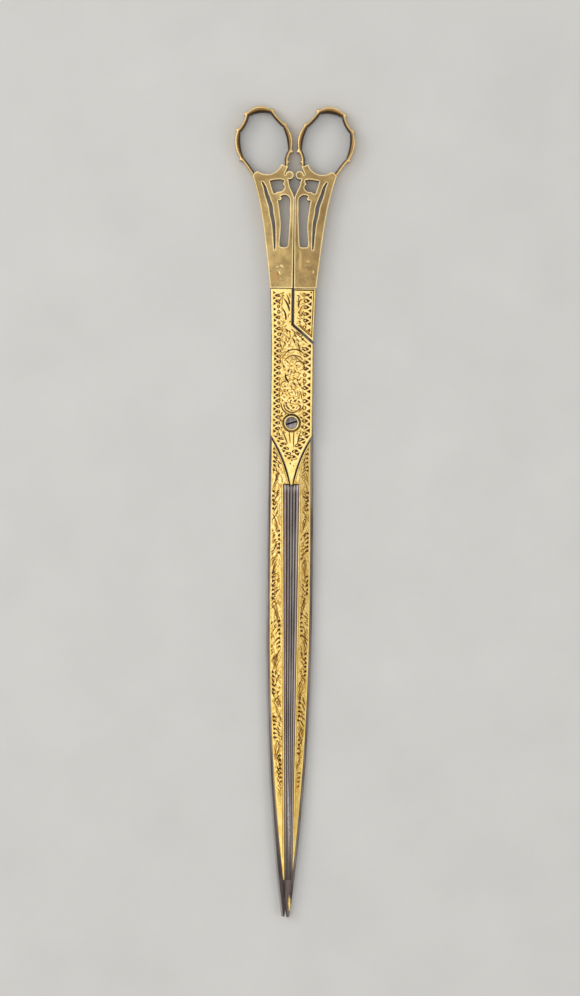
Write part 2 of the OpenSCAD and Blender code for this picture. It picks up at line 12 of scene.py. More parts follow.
import bmesh
import bpy
import numpy as np
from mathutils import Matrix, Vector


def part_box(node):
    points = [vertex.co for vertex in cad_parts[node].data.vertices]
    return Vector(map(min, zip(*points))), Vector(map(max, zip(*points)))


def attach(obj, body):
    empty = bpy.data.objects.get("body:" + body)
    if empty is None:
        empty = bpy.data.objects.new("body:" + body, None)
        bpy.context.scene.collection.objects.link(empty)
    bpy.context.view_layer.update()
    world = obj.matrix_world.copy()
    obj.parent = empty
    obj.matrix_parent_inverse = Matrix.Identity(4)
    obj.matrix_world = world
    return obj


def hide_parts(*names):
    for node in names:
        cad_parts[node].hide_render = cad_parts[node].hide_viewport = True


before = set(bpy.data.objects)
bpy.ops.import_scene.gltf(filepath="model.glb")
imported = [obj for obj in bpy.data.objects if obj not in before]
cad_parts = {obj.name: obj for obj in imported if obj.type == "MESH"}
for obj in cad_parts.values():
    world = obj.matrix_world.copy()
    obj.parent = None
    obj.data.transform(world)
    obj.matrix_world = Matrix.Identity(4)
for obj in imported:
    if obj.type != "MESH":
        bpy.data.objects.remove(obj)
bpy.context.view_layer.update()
MM = 0.001

# %% [markdown]
# ## Sizes that the pieces share
# The frame tells us the thickness of the halves and of the gold. The rest are the sizes that the
# outlines are made from, in millimetres, with the pivot at the origin.

# %% Shared sizes
# Thickness of a half, and of the gold on it
half_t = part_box("front_handle")[1].z / MM / 2
steel_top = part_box("front_shank_gold")[0].z / MM - half_t
gold_t = half_t - steel_top

# Shank, crossing and slanted shoulder
shank_l = 47.25
shank_w = 8.05
cross_w = 7.4
gold_inset = shank_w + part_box("front_shank_gold")[0].x / MM
heel_y = 34.5
shoulder_fall = 6.15
shoulder_gap = 0.5
slit_w = 0.6
waist_y = heel_y - shoulder_fall
shoulder_k = shoulder_fall / (cross_w - slit_w / 2)

# Pointed bolster and fluted panel; a d is a distance down from the pivot
bolster_start = 4.3
bolster_end = 21.9
bolster_tip_w = 0.5
bolster_sag = 0.9
bolster_x = 0.2
bolster_gap = 0.35
panel_gap = 0.15
panel_top_d = 21.3
panel_x = 0.2
panel_w = 2.7
panel_end_x = 0.92
panel_end_w = 1.27
panel_end_d = 160.1

# Blade
blade_l = 173.1
belly_d = 62.0
belly_w = 8.1
tip_w = 1.4
taper_power = 2.15
print("half thickness", round(half_t, 3), "gold", round(gold_t, 3), "inset", round(gold_inset, 3))

# %% [markdown]
# ## Placing points
# A half is drawn about its own parting plane with its outer face up. The front half only moves up
# to its place. The back half is the same shape turned over about its length.


# %% Placing points
def placed(points, half):
    """Takes points of one half from millimetres about its parting plane to the model's frame in
    metres: the back half changes the signs of x and z, and both move up by half a thickness."""
    turn = (-1, 1, -1) if half == "back" else (1, 1, 1)
    return (np.asarray(points, float) * turn + (0, 0, half_t)) * MM


def in_scene(name, data):
    """Puts an object with this mesh, lamp or camera into the scene."""
    made = bpy.data.objects.new(name, data)
    bpy.context.scene.collection.objects.link(made)
    return made


def new_piece(name, points, faces, values=None):
    """Makes an object from an array of points, a list of face arrays and named values for points."""
    mesh = bpy.data.meshes.new(name)
    mesh.from_pydata(points.tolist(), [], [f for group in faces for f in group.tolist()])
    for key, value in (values or {}).items():
        layer = mesh.attributes.new(key, "FLOAT", "POINT")
        layer.data.foreach_set("value", np.asarray(value, np.float32).ravel())
    mesh.shade_smooth()
    triangles = sum(len(p.vertices) - 2 for p in mesh.polygons)
    print(name, len(mesh.vertices), "points", triangles, "triangles")
    return in_scene(name, mesh)


def grid_faces(index, flip=False):
    """Four-sided faces between neighbours in a table of point numbers, in rows and columns."""
    faces = np.stack([index[:-1, :-1], index[1:, :-1], index[1:, 1:], index[:-1, 1:]], -1)
    faces = faces.reshape(-1, 4)
    return faces[:, ::-1] if flip else faces


# %% [markdown]
# ## Finishes
# A finish is a tree of nodes that works out a colour, a roughness and a fine relief at each point.
# All of ours start from Object coordinates, so that a finish stays where it is when the part moves.
# A colour is written as a screen shows it, red, green and blue from 0 to 255. A single number is a
# share, for masks and for darkening. The shader wants both as linear values.


# %% Colours
def linear(colour):
    """The linear colour that a shader takes, for three numbers from 0 to 255 or for one share."""
    if isinstance(colour, float):
        return (colour, colour, colour, 1.0)
    share = np.array(colour) / 255
    values = np.where(share <= 0.04045, share / 12.92, ((share + 0.055) / 1.055) ** 2.4)
    return (*values.tolist(), 1.0)


print("a screen's middle grey is", round(linear((128, 128, 128))[0], 3), "to the shader")

# %% [markdown]
# A field is what a node gives out: a number or a colour that changes from place to place. The signs
# of arithmetic on fields add Math nodes, so that a mask can be written as the formula that it is.
# Layers of colour are painted one over the other, each by its mask, as a restorer would build them.


# %% Fields
class Field:
    """A value or a colour that changes over the surface: one output of a node in a finish."""

    def __init__(self, finish, socket):
        self.finish = finish
        self.socket = socket

    def math(self, how, other=0.0):
        """One step of arithmetic."""
        return self.finish.node("Math", {0: self, 1: other}, "Value", operation=how)

    __add__ = partialmethod(math, "ADD")
    __sub__ = partialmethod(math, "SUBTRACT")
    __mul__ = partialmethod(math, "MULTIPLY")
    __truediv__ = partialmethod(math, "DIVIDE")
    __pow__ = partialmethod(math, "POWER")
    __lt__ = partialmethod(math, "LESS_THAN")
    __gt__ = partialmethod(math, "GREATER_THAN")
    __abs__ = partialmethod(math, "ABSOLUTE")
    fraction = partialmethod(math, "FRACT")
    or_more = partialmethod(math, "MAXIMUM")

    def stretch(self, low, high, first=0.0, last=1.0):
        """Carries this value evenly from one range to another, and holds it at the ends."""
        ends = {"From Min": low, "From Max": high, "To Min": first, "To Max": last}
        return self.finish.node("MapRange", {"Value": self, **ends}, "Result")

    def ramp(self, *stops):
        """Turns this value into a colour, through the given places and colours."""
        made = self.finish.node("ValToRGB", {"Fac": self}, "Color")
        elements = made.socket.node.color_ramp.elements
        for element, (place, _) in zip(elements, (stops[0], stops[-1])):
            element.position = place
        for place, _ in stops[1:-1]:
            elements.new(place)
        for element, (_, colour) in zip(elements, stops):
            element.color = linear(colour)
        return made

    def paint(self, colour, share, how="MIX"):
        """This colour with another laid over it by a share, or in another way."""
        above = colour if isinstance(colour, Field) else linear(colour)
        inputs = {0: share, 6: self, 7: above}
        return self.finish.node("Mix", inputs, 2, data_type="RGBA", blend_type=how)

    def shade(self, colour, share=1.0):
        """This colour multiplied by another."""
        return self.paint(colour, share, "MULTIPLY")

    def painted_crevice_shade(self, dirt_and_shade, distance, most, open_from=0.85, span=0.45):
        """This colour with painted shade where little of the open air within a distance can be seen.
        """
        # Painted shade: ambient occlusion darkens recesses, gaps and the feet of walls
        air = self.finish.node("AmbientOcclusion", {"Distance": distance}, "AO", samples=6)
        return self.paint(dirt_and_shade, air.ramp((open_from - span, most), (open_from, 0.0)))


# %% [markdown]
# A finish holds the material, its tree and its shader. It gives the fields that everything starts
# from: noise, the place on the object, values kept on the mesh, and soft spots for single marks.


# %% Finish
class Finish:
    """A material in the making."""

    def __init__(self, name):
        self.material = bpy.data.materials.new(name)
        self.material.use_nodes = True
        self.tree = self.material.node_tree
        self.shader = self.tree.nodes["Principled BSDF"]

    def feed(self, node, inputs):
        """Links fields to a node's inputs, and sets the other inputs to their constants."""
        for key, value in inputs.items():
            if isinstance(value, Field):
                self.tree.links.new(value.socket, node.inputs[key])
            else:
                node.inputs[key].default_value = value

    def node(self, kind, inputs, output, **properties):
        """Adds a node, sets its properties and inputs, and gives one of its outputs."""
        made = self.tree.nodes.new("ShaderNode" + kind)
        for key, value in properties.items():
            setattr(made, key, value)
        self.feed(made, inputs)
        return Field(self, made.outputs[output])

    def place(self):
        """The Object coordinate."""
        return self.node("TexCoord", {}, "Object")

    def part(self, axis):
        """One part of the Object coordinate, in metres."""
        return self.node("SeparateXYZ", {"Vector": self.place()}, axis)

    def point_value(self, name):
        """A value that the mesh keeps at its points."""
        return self.node("Attribute", {}, "Fac", attribute_name=name)

    def noise(self, scale, detail=4.0, along=(1.0, 1.0, 1.0), rough=0.55):
        """A noise with so many features to the metre, stretched along the object's axes."""
        place = self.node("Mapping", {"Vector": self.place(), "Scale": along}, "Vector")
        inputs = {"Vector": place, "Scale": scale, "Detail": detail, "Roughness": rough}
        return self.node("TexNoise", inputs, "Fac")

    def bump(self, height, strength, distance):
        """Feeds a height into the shader's normal."""
        inputs = {"Height": height, "Strength": strength, "Distance": distance}
        self.feed(self.shader, {"Normal": self.node("Bump", inputs, "Normal")})

    def spot(self, x, y, long, wide, turn):
        """A soft, ragged spot at a place in millimetres, so long and so wide, turned by degrees."""
        push = 0.8 * MM
        place = self.place()
        ragged = self.node("TexNoise", {"Vector": place, "Scale": 900.0, "Detail": 3.0}, "Color")
        inputs = {0: ragged, 1: (push, push, 0.0), 2: place}
        pushed = self.node("VectorMath", inputs, "Vector", operation="MULTIPLY_ADD")
        inputs = {
            "Vector": pushed, "Location": (x * MM + push / 2, y * MM + push / 2, 0.0),
            "Rotation": (0.0, 0.0, math.radians(turn)),
            "Scale": (long / 2 * MM, wide / 2 * MM, 1000.0),
        }
        mapped = self.node("Mapping", inputs, "Vector", vector_type="TEXTURE")
        away = self.node("VectorMath", {0: mapped}, "Value", operation="LENGTH")
        return away.ramp((0.45, 1.0), (1.0, 0.0))


# %% [markdown]
# ### Gold
# The gold is a thin sheet over steel. Its ornament is cut down to a ground that has gone brown and
# nearly black. The relief's depth is kept on the mesh as a value, so the finish can darken with it.


# %% Gold
def make_gold():
    """Chased gold: bright where the value called cut is 0, brown at a half, nearly black at 1."""
    finish = Finish("chased_gold")
    cut = finish.point_value("cut")
    wear = finish.noise(420.0).ramp((0.35, (230, 196, 112)), (0.65, (248, 221, 148)))
    patches = finish.noise(90.0, 3.0).ramp((0.3, 0.86), (0.7, 1.0))
    towards_tip = finish.part("Y").stretch(-0.02, -0.09, 0.0, 0.9)
    deep = cut.ramp(
        (0.0, 1.0), (0.25, (208, 188, 150)), (0.55, (140, 110, 78)),
        (0.8, (86, 56, 50)), (1.0, (42, 22, 32)),
    )
    colour = wear.shade(patches).shade((255, 250, 226), towards_tip).shade(deep)
    finish.feed(finish.shader, {
        # Painted shade in the pits and gaps of the gold
        "Base Color": colour.painted_crevice_shade((92, 64, 32), 0.5 * MM, 0.7),
        "Roughness": cut.ramp((0.0, 0.36), (1.0, 0.85)),
        "Metallic": cut.ramp((0.0, 0.9), (0.9, 0.25)),
    })
    finish.bump(finish.noise(800.0, 5.0, rough=0.6), 0.5, 0.12 * MM)
    return finish.material


gold = make_gold()
print("made", gold.name)

# %% [markdown]
# ### Brass
# The handles are cast brass gone dull, with blotches and casting pits. Every edge is polished by use
# and also carries a painted highlight. The bright edge is a second material, which the bevels take.


# %% Brass
def worn_and_highlit_edges(colour, bright, distance):
    """Lays a bright colour beside sharp edges, where the solid behind the surface is thin: polish from
    use, with a painted highlight as well. It leaves out a field round the rivets, whose holes are
    edges too but are kept dull."""
    finish = colour.finish
    solid = finish.node("AmbientOcclusion", {"Distance": distance}, "AO", samples=6, inside=True)
    low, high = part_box("back_handle_rivets")
    beside = abs(abs(finish.part("X")) - (low.x + 0.8 * MM)) > 2.2 * MM
    above = finish.part("Y") > high.y + 1.2 * MM
    under = finish.part("Y") < low.y - 1.2 * MM
    share = solid.stretch(0.93, 0.55, 0.0, 0.95) * beside.or_more(above.or_more(under))
    return colour.paint(bright, share)


def make_brass(name, dull, light, blotch, roughness, metal=0.9, marks=()):
    """Cast brass: two tones mottled together, with darker blotches and a pitted surface. A mark is
    a spot's place, length, width and turn, and its colour."""
    finish = Finish(name)
    mottle = finish.noise(260.0, 6.0, rough=0.7).ramp((0.32, dull), (0.68, light))
    blotches = finish.noise(75.0, 5.0).ramp((0.5, 0.0), (0.75, 0.8))
    colour = mottle.paint(blotch, blotches)
    for place, paint in marks:
        colour = colour.paint(paint, finish.spot(*place))
    # Polish from use, with a painted highlight, along the edges
    colour = worn_and_highlit_edges(colour, (250, 226, 168), 0.6 * MM)
    finish.feed(finish.shader, {
        # Painted shade in the crevices
        "Base Color": colour.painted_crevice_shade((52, 36, 20), 0.8 * MM, 0.85),
        "Roughness": finish.noise(180.0).ramp(
            (0.3, roughness - 0.08), (0.7, roughness + 0.1),
        ),
        "Metallic": metal,
    })
    finish.bump(finish.noise(900.0, 6.0, rough=0.75), 0.6, 0.1 * MM)
    return finish.material


# %% [markdown]
# Single marks come last. Each is a soft spot, given by its place, length, width, turn and colour.
# The front plate has an orange patch with bright dents, and the back plate has a rubbed streak.

# %% Marks on the handles
front_marks = (
    ((-6.1, 51.4, 4.6, 2.6, 75.0), (172, 134, 84)),
    ((-5.6, 54.7, 1.5, 0.8, 10.0), (224, 200, 144)),
    ((-4.1, 54.9, 1.8, 0.9, -25.0), (230, 206, 150)),
    ((-4.9, 52.6, 2.0, 0.6, 120.0), (226, 200, 142)),
    ((-5.5, 52.1, 2.2, 0.5, 118.0), (112, 84, 48)),
    ((-8.1, 53.2, 0.7, 0.6, 0.0), (92, 68, 40)),
)
back_marks = (
    ((2.3, 57.0, 9.5, 1.3, 90.0), (186, 158, 106)),
    ((5.1, 56.7, 1.2, 1.0, 0.0), (198, 168, 114)),
    ((7.0, 52.9, 1.0, 1.3, 0.0), (200, 170, 114)),
)
front_tones = (148, 124, 80), (194, 166, 110), (130, 104, 64)
back_tones = (130, 107, 69), (172, 144, 93), (114, 89, 54)
edge_tones = (236, 208, 150), (252, 230, 178), (214, 182, 124)
front_brass = make_brass("front_brass", *front_tones, roughness=0.42, marks=front_marks)
back_brass = make_brass("back_brass", *back_tones, roughness=0.42, marks=back_marks)
# The brighter brass of the bevels: polish from wear, with a painted highlight
edge_brass = make_brass("edge_brass", *edge_tones, roughness=0.36, metal=0.4)
print("made", front_brass.name, back_brass.name, edge_brass.name)

# %% [markdown]
# The bows have a painted highlight on the outer rim and painted shade that deepens inwards, down the
# round inner face. The value called inward runs from 0 at the outer face to 1 at the inner one, and a
# line is scribed between.


# %% Brass of the bows
def make_bow_brass():
    """Brass whose colour follows the value called inward, as a painted highlight at the rim and
    painted shade inwards, with a scribed line on the lobes.
    """
    finish = Finish("bow_brass")
    inward = finish.point_value("inward")
    # Painted highlight near the outer rim, painted shade deepening to the inner face
    across = inward.ramp(
        (0.0, (220, 186, 124)), (0.14, (250, 220, 158)), (0.3, (216, 180, 118)),
        (0.52, (160, 124, 72)), (0.72, (98, 70, 38)), (1.0, (40, 26, 14)),
    )
    line = inward.ramp((0.3, 0.0), (0.36, 1.0), (0.4, 1.0), (0.46, 0.0))
    mottle = finish.noise(300.0, 6.0, rough=0.7).ramp((0.3, 0.72), (0.7, 1.0))
    colour = across.paint((98, 70, 36), line.shade(finish.point_value("lobe"))).shade(mottle)
    finish.feed(finish.shader, {
        # Painted shade in the crevices
        "Base Color": colour.painted_crevice_shade((40, 26, 12), 0.9 * MM, 0.9),
        "Roughness": 0.42,
        "Metallic": 0.8,
    })
    finish.bump(finish.noise(900.0, 6.0, rough=0.75), 0.5, 0.06 * MM)
    return finish.material


bow_brass = make_bow_brass()
print("made", bow_brass.name)

# %% [markdown]
# ### Steel
# The blades are dark old steel: grey streaks from grinding run along them, and brown rust sits in
# patches. The streaks are a noise stretched along Y.


# %% Steel
def start_steel(name, dark, light, rust, roughness):
    """Old steel with streaks along Y and patches of rust. Gives the finish and its colour so far."""
    finish = Finish(name)
    streaks = finish.noise(900.0, 6.0, along=(1.0, 0.03, 1.0), rough=0.7)
    patches = finish.noise(190.0, 6.0, along=(1.0, 0.12, 1.0), rough=0.7)
    rough = patches.ramp((0.35, roughness), (0.7, roughness + 0.25))
    finish.feed(finish.shader, {"Roughness": rough, "Metallic": 0.85})
    finish.bump(streaks, 0.4, 0.04 * MM)
    rusty = patches.ramp((0.5, 0.0), (0.68, 0.75))
    return finish, streaks.ramp((0.34, dark), (0.66, light)).paint(rust, rusty)


# %% [markdown]
# Four flutes run down the panel of each blade and keep their dirt, and painted shade lies along the
# panel's sides, at its top end and in the gaps of the face. Their places follow from the panel's
# sides, which draw in evenly, so a point's place across the panel runs from -1 to 1. The ridges are
# worn bright and the left flutes are rusty. The bare inner side has painted shade towards the tip and
# a painted highlight near the blade's back.

# %% Steel of the blades' flutes
flute_n = 4
flute_share = 1.556 / flute_n


def make_blade_steel(name, turn, marks=()):
    """Steel of one blade: turn is 1 for the front one and -1 for the back one, which is the same
    shape turned over. Heights are in millimetres over the parting plane, places in metres."""
    tones = (88, 78, 74), (158, 150, 148), (70, 50, 42)
    finish, colour = start_steel(name, *tones, roughness=0.38)
    x = finish.part("X") * float(turn)
    down = finish.part("Y") * -1.0
    height = (finish.part("Z") - half_t * MM) * (turn / MM)
    ends = bolster_end * MM, panel_end_d * MM
    middle = down.stretch(*ends, panel_x * MM, panel_end_x * MM)
    across = (x - middle) / down.stretch(*ends, panel_w * MM, panel_end_w * MM)
    away = abs(across)
    outer_face = height > down.stretch(0.022, 0.16, 0.95, 0.5)
    in_panel = (away < 1.07) * outer_face
    below_top = down - panel_top_d * MM

    from_ridge = abs((across / flute_share).fraction() - 0.5)
    valley = from_ridge.stretch(0.32, 0.1) * (away < flute_share * flute_n / 2)
    valley = valley * below_top.stretch(0.0015, 0.0035) * down.stretch(0.159, 0.148)
    rust = across.stretch(-0.46, -0.62) * valley * in_panel
    # Dirt in the flutes, and painted shade along the panel's sides and at its top end
    dirt_and_shade = valley.or_more(away.stretch(0.84, 0.94)).or_more(below_top.stretch(0.0006, 0.0002))
    wear = finish.noise(260.0, along=(1.0, 0.1, 1.0))
    corners = away.stretch(0.2, 0.4) * 0.6 * below_top.stretch(0.003, 0.0015)
    worn = (corners + wear.stretch(0.4, 0.62, 0.25, 0.75)) * in_panel * down.stretch(0.162, 0.15)
    colour = colour.paint((194, 184, 178), worn)
    colour = colour.paint((60, 38, 26), dirt_and_shade * in_panel * wear.stretch(0.3, 0.6, 1.0, 0.75))
    colour = colour.paint((122, 62, 28), rust * 0.85)
    colour = colour.paint((62, 48, 44), down.stretch(0.145, 0.165, 0.0, 0.35))
    # Painted shade, nearly black, in the gaps and crevices of the outer face
    shaded_in_gaps = colour.painted_crevice_shade((12, 8, 10), 1.2 * MM, 0.99, open_from=0.97, span=0.27)
    colour = colour.paint(shaded_in_gaps, outer_face)

    inner_side = height < 0.1
    # Painted shade on the inner side, deepening towards the tip
    colour = colour.paint((48, 38, 34), inner_side * down.stretch(0.06, 0.12, 0.0, 0.6))
    # A painted highlight along the inner side near the blade's back
    taper = down.stretch(belly_d * MM, blade_l * MM) ** taper_power
    from_back = taper.stretch(0.0, 1.0, belly_w * MM, tip_w * MM) - x
    back_edge_highlight = from_back.stretch(0.75 * MM, 0.45 * MM) * inner_side
    colour = colour.paint((158, 154, 152), back_edge_highlight * down.stretch(0.02, 0.09, 0.2, 0.8))
    for place, paint in marks:
        colour = colour.paint(paint, finish.spot(*place))
    finish.feed(finish.shader, {"Base Color": colour})
    return finish.material


worn_ridge = (0.75, -138.0, 30.0, 0.75, 91.5), (196, 190, 188)
gold_trace = (1.42, -168.8, 7.5, 0.9, 94.0), (240, 202, 112)
blade_steels = {
    "front": make_blade_steel("front_steel", 1, (worn_ridge, gold_trace)),
    "back": make_blade_steel("back_steel", -1),
}
print("made", *(steel.name for steel in blade_steels.values()))

# %% [markdown]
# ### Screw and collar
# The screw's head has painted shade above and painted light below, and its slot is painted black as
# shade. The collar round it is brass with painted shade on its rim, a dome with painted shade above
# and painted light below, and a pale lip round the screw.


# %% Steel of the screw and brass of the collar
def make_screw_steel():
    """Steel of the screw, with painted shade above and painted light below, and black painted shade in
    the slot.
    """
    tones = (84, 74, 80), (172, 162, 162), (70, 56, 54)
    finish, colour = start_steel("screw_steel", *tones, roughness=0.34)
    screw_shade = (14, 10, 10)
    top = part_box("pivot_screw")[1].z
    # Painted light and shade: the head is lit below and shaded above
    colour = colour.shade(finish.part("Y").stretch(1.4 * MM, -1.2 * MM, 0.52, 1.05))
    # Painted shade in the crevices, and black painted shade down in the slot
    colour = colour.painted_crevice_shade(screw_shade, 0.45 * MM, 0.85)
    in_slot = finish.part("Z").stretch(top - 0.15 * MM, top - 0.35 * MM)
    finish.feed(finish.shader, {"Base Color": colour.paint(screw_shade, in_slot)})
    return finish.material


def make_collar_brass():
    """Brass of the collar: painted shade on the rim, a dome with painted shade above and painted light
    below, a pale lip, and painted shade in the crevices.
    """
    finish = Finish("collar_brass")
    x, y = finish.part("X"), finish.part("Y")
    out = ((x * x + y * y) ** 0.5).stretch(2.0 * MM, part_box("pivot_collar")[1].x)
    # Painted light and shade on the dome: shaded above, lit below
    dome = y.stretch(3 * MM, -3 * MM).ramp(
        (0.15, (88, 72, 38)), (0.6, (140, 108, 54)), (1.0, (190, 150, 80)),
    )
    mottle = finish.noise(500.0, 6.0, rough=0.7).ramp((0.3, 0.75), (0.7, 1.0))
    colour = dome.paint((246, 224, 164), out.ramp((0.36, 1.0), (0.42, 0.0)))
    # Painted shade round the rim
    colour = colour.paint((30, 22, 12), out.ramp((0.88, 0.0), (0.98, 0.9)))
    # Painted shade in the crevices
    colour = colour.shade(mottle).painted_crevice_shade((30, 20, 12), 0.6 * MM, 0.85)
    finish.feed(finish.shader, {"Base Color": colour, "Roughness": 0.36, "Metallic": 0.85})
    return finish.material


screw_steel = make_screw_steel()
collar_brass = make_collar_brass()
print("made", screw_steel.name, collar_brass.name)

# %% [markdown]
# ## The chased gold sheets
# A sheet lies on a half's outer face between two side lines. We lay a grid of points row by row
# between those lines, sink each point by the depth of the ornament, and close the sheet with side
# walls and a floor. Where the screw passes, the middle column of the grid opens into a round hole.


# %% A closed sheet from rows
def close_sheet(name, half, rows, left, right, hole, columns, top_z, floor_z, sink):
    """Makes a closed sheet. Row i lies at y = rows[i] from left[i] to right[i], open in its middle
    for hole[i] to each side. The top's height is top_z(x, y) less the depth that sink gives, the
    floor's is floor_z(x, y). The value called cut is sink's share of the full depth."""
    # The top has the whole grid, the floor only its sides and the edges of the hole
    middle = (left + right) / 2
    share = np.linspace(0, 1, columns // 2 + 1)
    x = np.concatenate([
        left[:, None] + (middle - hole - left)[:, None] * share,
        (middle + hole)[:, None] + (right - middle - hole)[:, None] * share,
    ], 1)
    y = np.repeat(rows[:, None], x.shape[1], 1)
    depth, cut = sink(x, y)
    ends = [0, columns // 2, columns // 2 + 1, columns + 1]
    floor_x, floor_y = x[:, ends], y[:, ends]
    top = np.stack([x, y, top_z(x, y) - depth], -1)
    floor = np.stack([floor_x, floor_y, floor_z(floor_x, floor_y)], -1)
    points = np.concatenate([top.reshape(-1, 3), floor.reshape(-1, 3)])

    # Where there is no hole, its two edges are one point
    index = np.arange(x.size).reshape(x.shape)
    below = x.size + np.arange(floor_x.size).reshape(floor_x.shape)
    shut = hole == 0
    index[shut, ends[2]] = index[shut, ends[1]]
    below[shut, 2] = below[shut, 1]
    open_rows = np.flatnonzero(~shut[:-1] | ~shut[1:])
    faces = [
        grid_faces(index[:, :ends[2]]), grid_faces(index[:, ends[2]:]),
        grid_faces(below[:, :2], True), grid_faces(below[:, 2:], True),
        grid_faces(np.stack([below[:, 0], index[:, 0]], 1)),
        grid_faces(np.stack([index[:, -1], below[:, -1]], 1)),
    ]
    if len(open_rows):
        wall_rows = np.arange(open_rows[0], open_rows[-1] + 2)
        faces.append(grid_faces(np.stack([index[wall_rows, ends[1]], below[wall_rows, 1]], 1)))
        faces.append(grid_faces(np.stack([below[wall_rows, 2], index[wall_rows, ends[2]]], 1)))
    for row, flip in ((0, False), (-1, True)):
        rim = np.concatenate([index[row, :ends[2]], index[row, ends[2] + 1:]])
        rim = np.append(rim, below[row, 3])
        fan = np.stack([np.full(len(rim) - 1, below[row, 0]), rim[:-1], rim[1:]], 1)
        faces.append(fan[:, ::-1] if flip else fan)
    used = np.unique(np.concatenate([f.ravel() for f in faces]))
    number = np.zeros(len(points), int)
    number[used] = np.arange(len(used))
    value = np.concatenate([cut.ravel(), np.zeros(floor_x.size)])
    faces = [number[f] for f in faces]
    return new_piece(name, placed(points[used], half), faces, {"cut": value[used]})


# %% [markdown]
# ### The ornament's cuts
# Every cut is described by how far inside it a point lies, in millimetres: positive inside,
# negative outside. A leaf is a curved stroke with pointed ends, an arc is part of a ring, and a
# border is a row of triangles with rings cut round beads between them. The deepest cut wins.


# %% Cuts
def smooth(value, low, high):
    """Rises from 0 at low to 1 at high without a corner."""
    t = np.clip((value - low) / (high - low), 0, 1)
    return t * t * (3 - 2 * t)


def sunk(inside, depth=1.0):
    """Turns the distance inside a cut into a share of the full depth, with a rounded shoulder."""
    return depth * smooth(inside, -0.1, 0.1)


def leaf_cut(x, y, start, end, bulge, width, heavy):
    """Distance inside a stroke from start to end. Its middle line is a parabola that stands bulge
    to the left, and it is widest at the share heavy of its length."""
    way = np.subtract(end, start)
    length = np.hypot(*way)
    along = ((x - start[0]) * way[0] + (y - start[1]) * way[1]) / length**2
    across = ((y - start[1]) * way[0] - (x - start[0]) * way[1]) / length
    t = np.clip(along, 0, 1)
    body = (t / heavy) ** heavy * ((1 - t) / (1 - heavy)) ** (1 - heavy)
    beyond = np.abs(along - t) * length
    return width / 2 * body - np.hypot(across - bulge * 4 * t * (1 - t), beyond)


def arc_cut(x, y, centre, radius, turn_from, turn_to, width):
    """Distance inside part of a ring, between two directions in degrees, thinning to its ends."""
    turn = np.degrees(np.arctan2(y - centre[1], x - centre[0]))
    share = ((turn - turn_from) % 360) / (turn_to - turn_from)
    body = np.sqrt(np.clip(4 * share * (1 - share), 0, 1))
    ring = np.abs(np.hypot(x - centre[0], y - centre[1]) - radius)
    return np.where(share < 1, width / 2 * body - ring, -1.0)


# %% [markdown]
# A border repeats, but nothing cut by hand repeats exactly, so each triangle and ring differs a
# little from the next. The differences follow from its number and are the same in every run.


# %% Border
def by_chance(number, salt):
    """A value from 0 to 1 for each whole number, which looks as if it came by chance."""
    value = np.sin(number * 12.9898 + salt * 78.233) * 43758.5453
    return value - np.floor(value)


def border_cut(s, t, fillet, pitch, tall, base, curl, ring):
    """Depth of a border's cuts, s in from the side and t along it. Triangles stand on the fillet.
    Behind each gap between two of them stands a smaller triangle turned round, and behind that a
    ring is cut round a bead at the distance curl, deepest on two of its sides."""
    # The triangles on the fillet, no two of a size
    number = np.floor(t / pitch + 0.5)
    beside_middle = np.abs(t / pitch - number) * pitch
    size = 0.88 + 0.24 * by_chance(number, 2)
    lean = tall / math.hypot(tall, base)
    triangle = (base * size - beside_middle - base / tall * (s - fillet)) * lean
    cut = sunk(np.minimum(triangle, s - fillet - 0.02), 0.85 + 0.15 * by_chance(number, 1))
    # The triangles turned round behind the gaps, and some left out
    gap = np.floor(t / pitch)
    off_gap = (t / pitch - gap - 0.5) * pitch + 0.16 * (by_chance(gap, 3) - 0.5)
    behind = 0.62 * (s - fillet - 0.45 * tall) - np.abs(off_gap)
    turned_round = np.minimum(behind, curl - 0.45 - s)
    cut = np.maximum(cut, sunk(turned_round, 0.9) * (by_chance(gap, 6) > 0.2))
    # The rings round the beads
    away = np.hypot(s - curl, off_gap)
    turn = np.arctan2(s - curl, off_gap)
    dark = 0.66 + 0.3 * np.cos(2 * turn - 2 * math.pi * by_chance(gap, 4))
    radius = ring * (0.85 + 0.25 * by_chance(gap, 5))
    return np.maximum(cut, sunk(0.17 - np.abs(away - radius)) * dark)


# %% [markdown]
# ### The shank's face
# The main panel runs from the brass to the bolster's point. Its borders follow both sides, round
# the shoulder and down the V. The field between them is filled with leaves, crescents, petals and
# rings, cut one by one.


# %% Side lines of the shank's face
def bowed(start, end, sag, count):
    """Points from start to just before end on a parabola that stands sag to the left."""
    t = np.arange(count)[:, None] / count
    way = np.subtract(end, start)
    left = np.array([-way[1], way[0]]) / np.hypot(*way)
    return np.array(start) + way * t + left * 4 * t * (1 - t) * sag


def shank_sides(inset):
    """The face's left and right side lines, from the top to the bolster's point."""
    lean = math.hypot(1, shoulder_k)
    slit = slit_w / 2 + inset
    drop = (shoulder_gap + inset) * lean
    side = cross_w - inset
    tip = max(0.1, bolster_tip_w - inset)
    tip_y = 1.2 * tip - bolster_end
    point = [bolster_x, inset - bolster_end]
    sag = bolster_sag + inset / 2
    left = np.concatenate([
        [[inset - shank_w, shank_l - inset], [-side, waist_y]],
        bowed([-side, -bolster_start], [bolster_x - tip, tip_y], sag, 16),
        [[bolster_x - tip, tip_y], point],
    ])
    right = np.concatenate([
        [[-slit, shank_l - inset], [-slit, heel_y - drop + shoulder_k * (slit + slit_w / 2)]],
        [[side, waist_y - drop + shoulder_k * inset]],
        bowed([side, -bolster_start], [bolster_x + tip, tip_y], -sag, 16),
        [[bolster_x + tip, tip_y], point],
    ])
    return left, right


def at_rows(line, rows):
    """The x of a side line, given from the top down, at each row."""
    return np.interp(-rows, -line[:, 1], line[:, 0])


